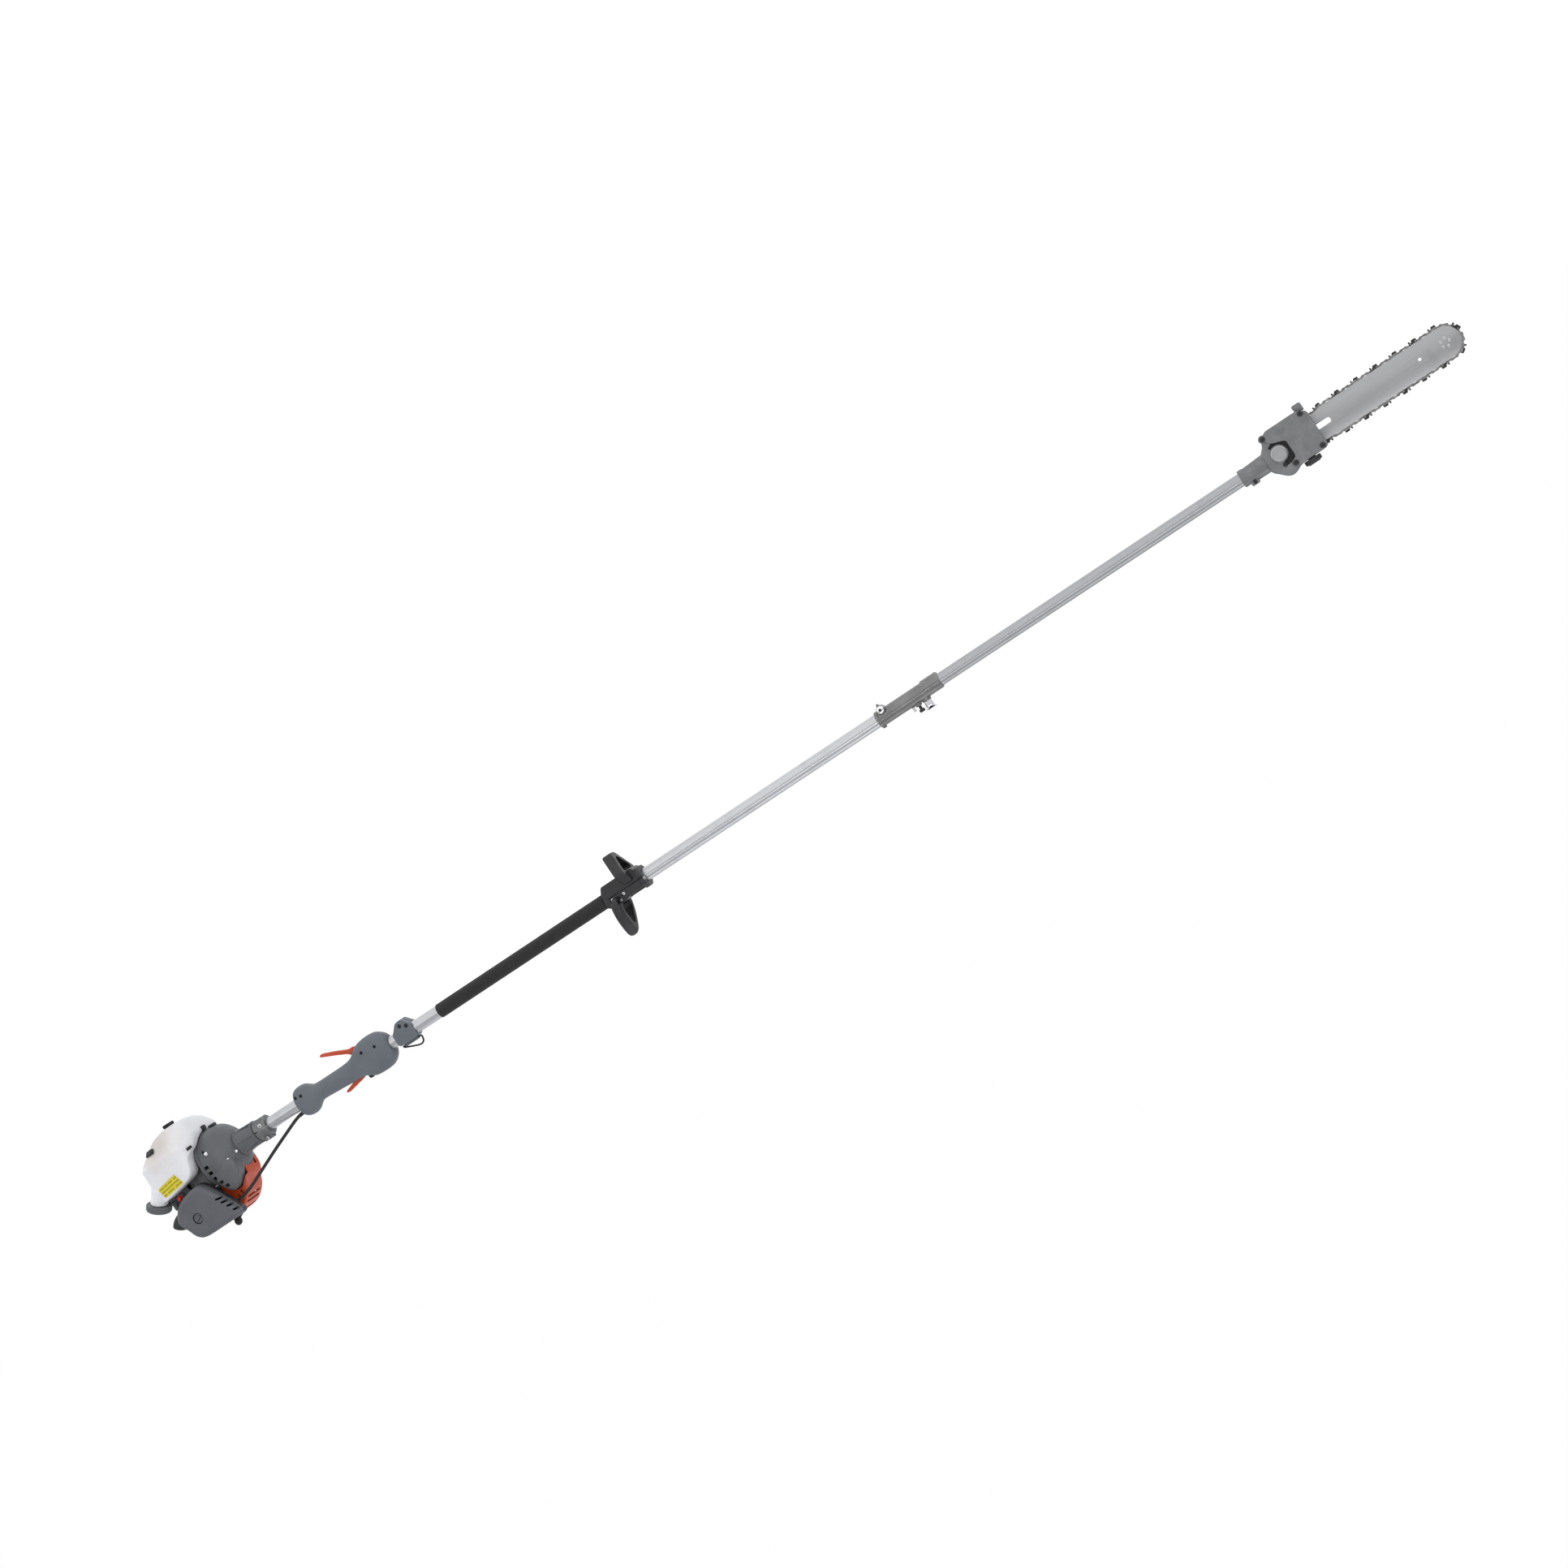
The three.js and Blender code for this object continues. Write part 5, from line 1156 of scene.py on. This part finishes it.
def gear_head():
    s, gear = span("gear_case"), span("gear_case_cap")
    inner, outer, lid = -8.5, 20, span("gear_case_cover").y1
    block = slab(HEAD, inner, outer, round=9, edge=3.5, steps=5)
    neck = turned([(s.x0, 15.4), (s.x0 + 1.2, 16.6), (s.x0 + 9, 16.6), (s.x0 + 11, 15.6),
                   (2536, 16.6), (2550, 17.6), (2566, 18.6)], sides=80)
    neck = cut(neck, box(2552, 2572, -40, inner, -40, 40))
    rib = box(2516, 2566, -1.4, 1.4, 14, 18, 1)
    lug = box(2516, 2532, -7, 7, 12, 22, 2)
    seat = turned([(-6, 16.5), (21, 16.5), (22, 15.5)], Y, (gear.x, 0, 0), 64)
    stud = turned([(6, 4), (31, 4)], -Y, STUD, 32)
    body = fused(block, neck, seat, lug, rib, rod(7.5, 6, outer, Y, (LUG_X, 0, LUG_Z), 40))
    groove = slab([(2586, 24), (2600, 23), (2606, 20), (2606, -15), (2582, -25), (2572, -20), (2584, 0)],
                  outer - 9, outer + 4, round=2)
    groove = cut(groove, rod(16, 0, 40, Y, (gear.x, 0, gear.z)))
    bores = [rod(FRONT_RADIUS + 0.3, s.x0 - 1, FRONT.x1 + 0.3), rod(8, 24, 50, Z, (2627, 6, 0)), groove,
             box(s.x0 - 1, 2546, -0.9, 0.9, 0, 30), rod(5.6, -10, 3, Y, (gear.x, 0, 0)),
             rod(9.8, 2540, gear.x - 2), rod(12.4, 1, 21, Y, (gear.x, 0, 0))]
    piece("gear_casting", cut(body, *bores), "cast_aluminium", SAW, "gear_case", bevel=0.6)
    piece("bar_stud", cut(stud, rod(1, 30.2, 40, -Y, STUD, 6)), "steel", SAW)
    # Painted shadow: a black rubber sheet sunk in the groove round the bearing cap, darkening the gap between
    # the lid and the bearing seat.
    painted_shadow = slab([(2585, 22), (2599, 21.5), (2604.5, 19), (2604.5, -14), (2581, -23.5), (2574, -19),
                   (2584, 0)], outer - 8.9, outer - 3, round=2)
    painted_shadow = cut(painted_shadow, rod(17, 0, 40, Y, (gear.x, 0, gear.z)))
    piece("cap_groove_painted_shadow", painted_shadow, "rubber", SAW, bevel=0.3)
    plate = fused(slab(LID, outer + 0.3, lid, round=6, edge=1.4),
                  turned([(outer + 0.3, 7.5), (lid - 1, 7.5), (lid, 6.5)], Y,
                         (LUG_X, 0, LUG_Z), 40))
    panel = slab([(2614, 24), (2652, 24), (2652, -32), (2640, -38), (2590, -38), (2590, -32), (2614, -22)],
                 lid - 0.6, lid + 2, round=6)
    rim = rod(16.9, 10, 30, Y, (gear.x, 0, 0))
    panel = cut(panel, box(2590, 2660, lid - 1, lid + 3, 23, 25))
    piece("gear_lid", cut(plate, rim, panel), "cast_aluminium", SAW, "gear_case_cover", bevel=0.35)
    cap = turned([(gear.y0, 14.3), (gear.y1 - 1.4, 14.3), (gear.y1 - 0.3, 13), (gear.y1, 11.5),
                  (gear.y1 - 0.7, 10.6)], Y, (gear.x, 0, gear.z), 72)
    piece("bearing_cap", cap, "bar_steel", SAW, "gear_case_cap")
    corners = [(2654, 28), (2651, -40), (2600, 28), (LUG_X, LUG_Z)]
    screws = left_screws(corners, lid, 5.2, 3.6, 0.5)
    screws.append(screw_head((2524, 7, 17.5), Y, 3.6, 3))
    screws.append(screw_head((2583, 18.5, 20.5), Y, 4.4, 4.4))
    piece("gear_screws", gathered(*screws), "black_plastic", SAW)
    stop = slab([(2645, -46), (2643.6, -56), (2645, -58.6), (2659.6, -58.6), (2661.4, -56), (2661.4, -42)],
                -4, 12, round=2, edge=1)
    piece("limb_rest", stop, "cast_aluminium", SAW, "limb_stop")
    filler = span("oil_cap")
    body = turned([(26, 7.4), (36.7, 7.4), (36.7, 15.6), (37.4, 16), (44, 16), (45.4, 14.6), (46, 12)],
                  Z, (filler.x, filler.y, 0), 96, fluted(24, 0.05))
    grip = box(filler.x - 11, filler.x + 11, filler.y - 1.8, filler.y + 1.8, 45, 47.2, 0.8)
    piece("oil_filler", fused(body, grip), "black_plastic", "oil_filler_cap", "oil_cap", bevel=0.25)


# ---- bar and chain ----
BAR = span("guide_bar")
EDGE = (BAR.z1 - BAR.z0) / 2
NOSE_X = BAR.x1 - EDGE
GEAR = span("rim_sprocket")
GEAR_EDGE = (GEAR.z1 - GEAR.z0) / 2 + 0.3
SHOULDER_X = 2692
# The circles that the chain goes round: x, z, radius.
CIRCLES = [(GEAR.x, 0.0, GEAR_EDGE), (SHOULDER_X, BAR.z, EDGE), (NOSE_X, BAR.z, EDGE)]


class Run:
    """The line that the chain follows: round the sprocket, over the bar to its nose and back below."""

    def __init__(self):
        gear, shoulder, nose = CIRCLES
        up, down = self.tangent(gear, shoulder, 1), self.tangent(gear, shoulder, -1)
        self.parts = []
        self.arc(gear, down + 2 * math.pi, up)
        self.line(gear, shoulder, up)
        self.arc(shoulder, up, math.pi / 2)
        self.line(shoulder, nose, math.pi / 2)
        self.arc(nose, math.pi / 2, -math.pi / 2)
        self.line(nose, shoulder, -math.pi / 2)
        self.arc(shoulder, -math.pi / 2, down)
        self.line(shoulder, gear, down)
        self.length = sum(part[0] for part in self.parts)

    @staticmethod
    def tangent(a, b, side):
        dx, dz = b[0] - a[0], b[1] - a[1]
        return math.atan2(dz, dx) + side * math.acos((a[2] - b[2]) / math.hypot(dx, dz))

    def arc(self, circle, start, end):
        self.parts.append((abs(end - start) * circle[2], circle, start, end, None))

    def line(self, a, b, angle):
        reach = math.hypot(b[0] + (b[2] - a[2]) * math.cos(angle) - a[0],
                           b[1] + (b[2] - a[2]) * math.sin(angle) - a[1])
        self.parts.append((reach, a, angle, angle, b))

    def at(self, distance, lift=0.0):
        """(x, z) at a distance along the run, `lift` outside its edge."""
        distance %= self.length
        for length, circle, start, end, other in self.parts:
            if distance <= length:
                share = distance / length if length else 0
                angle = start + (end - start) * share
                x, z, r = circle
                first = (x + (r + lift) * math.cos(angle), z + (r + lift) * math.sin(angle))
                if other is None:
                    return first
                x, z, r = other
                last = (x + (r + lift) * math.cos(angle), z + (r + lift) * math.sin(angle))
                return tuple(a + (b - a) * share for a, b in zip(first, last))
            distance -= length
        return self.at(0, lift)


RUN = Run()
CUTTER_PITCH = 38.1
LINKS_PER_CUTTER = 4
RIVETS = round(RUN.length / CUTTER_PITCH) * LINKS_PER_CUTTER
RIVET_LIFT = 2.7
NOSE_RIVETS = 5
RIVET_CIRCLE = 8


def link_plate(a, b, centre, thickness, outline):
    """An outline of (share of the link from a to b, height) laid between two rivets."""
    a, b = Vector(a), Vector(b)
    along = b - a
    up = Vector((along.y, -along.x)).normalized() * -1
    if (a + up - Vector((SHOULDER_X, BAR.z))).length < (a - up - Vector((SHOULDER_X, BAR.z))).length:
        up.negate()
    corners = [a + along * share + up * height for share, height in outline]
    half = thickness / 2
    return slab([tuple(c) for c in corners], centre - half, centre + half, edge=0.2, steps=1)


def waisted(high=2.1, low=-2.6):
    """A tie strap: round at both rivets and narrow between them."""
    points = []
    for middle, turn in ((0.0, 90), (1.0, -90)):
        for k in range(7):
            angle = math.radians(turn + 180 * k / 6)
            reach = high if math.sin(angle) > 0 else -low
            points.append((middle + 0.27 * math.cos(angle), reach * math.sin(angle)))
        points.append((0.5, (low if middle == 0 else high) * 0.72))
    return points


def saw_chain():
    strap = waisted()
    drive = [(-0.24, 0.2), (-0.14, 1.7), (0.1, 1.7), (0.26, 0.4), (0.74, 0.4), (0.9, 1.7), (1.14, 1.7),
             (1.24, 0.2), (1.18, -2.6), (0.86, -2.6), (0.66, -5.4), (0.5, -6.2), (0.3, -5.2), (0.1, -2.6),
             (-0.18, -2.6)]
    cutter = [(-0.28, 0), (-0.24, -2.2), (0.1, -2.6), (0.5, -2.4), (0.9, -2.6), (1.24, -2.2), (1.28, 1.2),
              (1.3, 4.4), (1.14, 4.9), (1.02, 4.2), (0.9, 1.2), (0.76, 0.9), (0.6, 4.6), (0.5, 5.3),
              (-0.22, 5.1), (-0.3, 2.4)]
    plates, cutters, pins = [], [], []
    for i in range(RIVETS):
        start, end = (RUN.at(RUN.length * k / RIVETS, RIVET_LIFT) for k in (i, i + 1))
        kind = i % LINKS_PER_CUTTER
        cutting_side = 1 if (i // LINKS_PER_CUTTER) % 2 else -1
        if kind in (0, 2):
            plates.append(link_plate(start, end, BAR.y, 1.3, drive))
        else:
            for side in (-1, 1):
                outer = kind == 1 and side == cutting_side
                link = link_plate(start, end, BAR.y + side * 1.55, 1.3, cutter if outer else strap)
                (cutters if outer else plates).append(link)
            if kind == 1:
                top = [(-0.22, 4.5), (0.52, 4.9), (0.52, 5.3), (-0.22, 5.0)]
                cutters.append(link_plate(start, end, BAR.y + cutting_side * 0.9, 3.6, top))
        pins.append(turned([(-3.0, 1.2), (-2.7, 1.7), (-2.3, 1.7), (2.3, 1.7), (2.7, 1.7),
                            (3.0, 1.2)], Y, (start[0], BAR.y, start[1]), 12))
    piece("chain_links", gathered(*plates, *pins), "chain_steel", SAW, "saw_chain", angle=30)
    piece("chain_cutters", gathered(*cutters), "dark_steel", SAW, angle=30)


def guide_bar():
    steps = 150
    outline = [Vector(RUN.at(RUN.length * i / steps)) for i in range(steps)]
    heel = rod(26, BAR.y - 5, BAR.y + 5, Y, (GEAR.x, 0, 0))
    slot = slab(oblong(2640, 2690, BAR.z - 5, BAR.z + 5), BAR.y - 5, BAR.y + 5, round=5)
    tools = [heel, slot, side_rod(3, BAR.y - 5, BAR.y + 5, 2869, BAR.z)]
    sides = []
    for side in (-1, 1):
        faces = sorted((BAR.y + side * 0.78, BAR.y + side * 1.8))
        sides.append(cut(slab(outline, *faces, edge=0.25, steps=2), *tools))
    core = slab(inwards(outline, 6.5), BAR.y - 0.8, BAR.y + 0.8)
    core = cut(core, *tools, rod(31, BAR.y - 5, BAR.y + 5, Y, (NOSE_X, 0, BAR.z)))
    hub = rod(8, BAR.y - 0.8, BAR.y + 0.8, Y, (NOSE_X, 0, BAR.z), 48)
    piece("bar_plates", gathered(*sides, core, hub), "bar_steel", SAW, "guide_bar", angle=30)
    rivets = []
    for i in range(NOSE_RIVETS):
        angle = 2 * math.pi * i / NOSE_RIVETS
        place = (NOSE_X + RIVET_CIRCLE * math.cos(angle), 0, BAR.z + RIVET_CIRCLE * math.sin(angle))
        for side in (Y, -Y):
            centre = Vector(place) + Y * (BAR.y + side.y * 1.75)
            rivets.append(turned([(0, 2.9), (0.35, 2.7), (0.6, 1.7)], side, centre, 24))
    piece("nose_rivets", gathered(*rivets), "steel", SAW)
    wheel = span("nose_sprocket")
    teeth, steps, middle, tooth = 10, 80, 22.2, 1.8
    star = []
    for i in range(steps):
        angle = 2 * math.pi * i / steps
        r = middle + tooth * math.cos(teeth * angle)
        star.append((wheel.x + r * math.cos(angle), wheel.z + r * math.sin(angle)))
    disc = cut(slab(star, wheel.y0, wheel.y1), rod(8.6, wheel.y0 - 1, wheel.y1 + 1, Y, (wheel.x, 0, wheel.z)))
    piece("nose_wheel", disc, "steel", "nose_wheel", "nose_sprocket")


def sprocket_cover():
    s = span("sprocket_cover")
    shell = slab([(s.x0, -16), (s.x0, 16), (2566, 32), (2600, s.z1), (s.x1, 32), (s.x1, -38), (2640, s.z0),
                  (2580, -40)], s.y0, s.y1, round=12, edge=4, steps=5)
    room = slab([(2557, -20), (2557, 20), (2570, 29), (2612, 29), (2612, -35), (2580, -35)], -29, -16,
                round=8)
    hole = rod(4.6, 16, 36, -Y, STUD, 32)
    seat = rod(10.5, s.y0 * -1 - 1.4, 40, -Y, STUD, 48)
    grooves = [slab([(2574 + 10 * i, 22), (2577 + 10 * i, 22), (2577 + 10 * i, -30), (2574 + 10 * i, -30)],
                    s.y0 - 1, s.y0 + 1.2, round=1.4) for i in range(5)]
    piece("chain_cover", cut(shell, room, hole, seat, *grooves), "black_plastic", SAW, "sprocket_cover",
          bevel=0.4)
    nut = span("bar_nut")
    body = fused(turned([(34.5, 9), (35.7, 9)], -Y, STUD, 40),
                 turned([(35.6, 7.5), (40.2, 7.5), (-nut.y0, 6.8)], -Y,
                        STUD, 6))
    piece("cover_nut", cut(body, rod(4.3, 30, 45, -Y, STUD, 32)), "steel", SAW, "bar_nut", bevel=0.3)


# ---- floor, light and camera ----
def floor():
    size = 60.0
    mesh = bpy.data.meshes.new("floor")
    corners = [(-size, -size, 0), (size, -size, 0), (size, size, 0), (-size, size, 0)]
    mesh.from_pydata(corners, [], [(0, 1, 2, 3)])
    ground = bpy.data.objects.new("floor", mesh)
    bpy.context.scene.collection.objects.link(ground)
    look = Look("studio_floor", (0.9, 0.9, 0.9), 0.95)
    look.set("Base Color", look.mix(look.noise(3), (0.88, 0.88, 0.88, 1), (0.92, 0.92, 0.92, 1)))
    look.set("Specular IOR Level", 0.0)
    look.set("Emission Color", (1, 1, 1, 1))
    look.set("Emission Strength", 0.45)
    mesh.materials.append(look.material)


def area_light(name, place, target, size, power):
    light = bpy.data.lights.new(name, "AREA")
    light.shape = "RECTANGLE"
    light.size, light.size_y = size
    light.energy = power
    lamp = bpy.data.objects.new(name, light)
    lamp.location = place
    lamp.rotation_euler = (Vector(target) - Vector(place)).to_track_quat("-Z", "Y").to_euler()
    bpy.context.scene.collection.objects.link(lamp)


def studio():
    """A plain white surround to look at, a soft grey sky to light with, and three lamps."""
    world = bpy.data.worlds.new("studio")
    bpy.context.scene.world = world
    world.use_nodes = True
    tree = world.node_tree
    tree.nodes.clear()
    output = tree.nodes.new("ShaderNodeOutputWorld")
    seen, lit = tree.nodes.new("ShaderNodeBackground"), tree.nodes.new("ShaderNodeBackground")
    seen.inputs[0].default_value = (1, 1, 1, 1)
    seen.inputs[1].default_value = 1.0
    lit.inputs[1].default_value = 1.0
    rays = tree.nodes.new("ShaderNodeLightPath")
    choice = tree.nodes.new("ShaderNodeMixShader")
    where = tree.nodes.new("ShaderNodeTexCoord")
    split = tree.nodes.new("ShaderNodeSeparateXYZ")
    sky = tree.nodes.new("ShaderNodeValToRGB")
    sky.color_ramp.elements[0].color = (0.55, 0.55, 0.56, 1)
    sky.color_ramp.elements[1].color = (0.82, 0.82, 0.84, 1)
    links = [(where.outputs["Generated"], split.inputs[0]), (split.outputs[2], sky.inputs[0]),
             (sky.outputs[0], lit.inputs[0]), (rays.outputs["Is Camera Ray"], choice.inputs[0]),
             (lit.outputs[0], choice.inputs[1]), (seen.outputs[0], choice.inputs[2]),
             (choice.outputs[0], output.inputs[0])]
    for source, target in links:
        tree.links.new(source, target)
    middle = (1.5, 0, AXIS_HEIGHT)
    area_light("key", (1.9, 3.2, 1.5), middle, (4.2, 0.5), 16)
    area_light("fill", (0.0, -3.0, 1.8), middle, (3.5, 1.5), 8)
    area_light("top", (1.5, 0.2, 3.2), middle, (4.5, 1.2), 14)


CAMERA_PLACE = Vector((2.594, 4.129, 0.1188))
CAMERA_TARGET = Vector((1.496, 0, 0.1188))
CAMERA_LENS = 51.88
CAMERA_ROLL = math.radians(33.53)


def camera():
    data = bpy.data.cameras.new("camera")
    data.sensor_width = 36
    data.lens = CAMERA_LENS
    made = bpy.data.objects.new("camera", data)
    forward = (CAMERA_TARGET - CAMERA_PLACE).normalized()
    level = forward.cross(Z).normalized()
    right = -math.cos(CAMERA_ROLL) * level + math.sin(CAMERA_ROLL) * Z
    up = -math.sin(CAMERA_ROLL) * level - math.cos(CAMERA_ROLL) * Z
    turn = Matrix((right, up, -forward)).transposed().to_4x4()
    made.matrix_world = Matrix.Translation(CAMERA_PLACE) @ turn
    bpy.context.scene.collection.objects.link(made)
    bpy.context.scene.camera = made


camera()
studio()
floor()
bpy.context.scene.view_settings.view_transform = "Standard"

for row in frame["record"]["subparts"]:
    node = frame["nodes"][row["node"]]
    node.data.materials.clear()
    node.data.materials.append(LOOKS[row["material_slot"]].material)

pole_tubes()
foam_sleeve()
engine_clamp()
clutch_nose()
fan_housing()
crankcase()
cylinder_and_plug()
engine_cover()
muffler()
air_filter()
choke_and_primer()
starter()
tank_fittings(fuel_tank())
throttle_handle()
trigger_parts()
throttle_cable()
harness_hanger()
loop_handles()
coupler()
gear_head()
guide_bar()
saw_chain()
sprocket_cover()
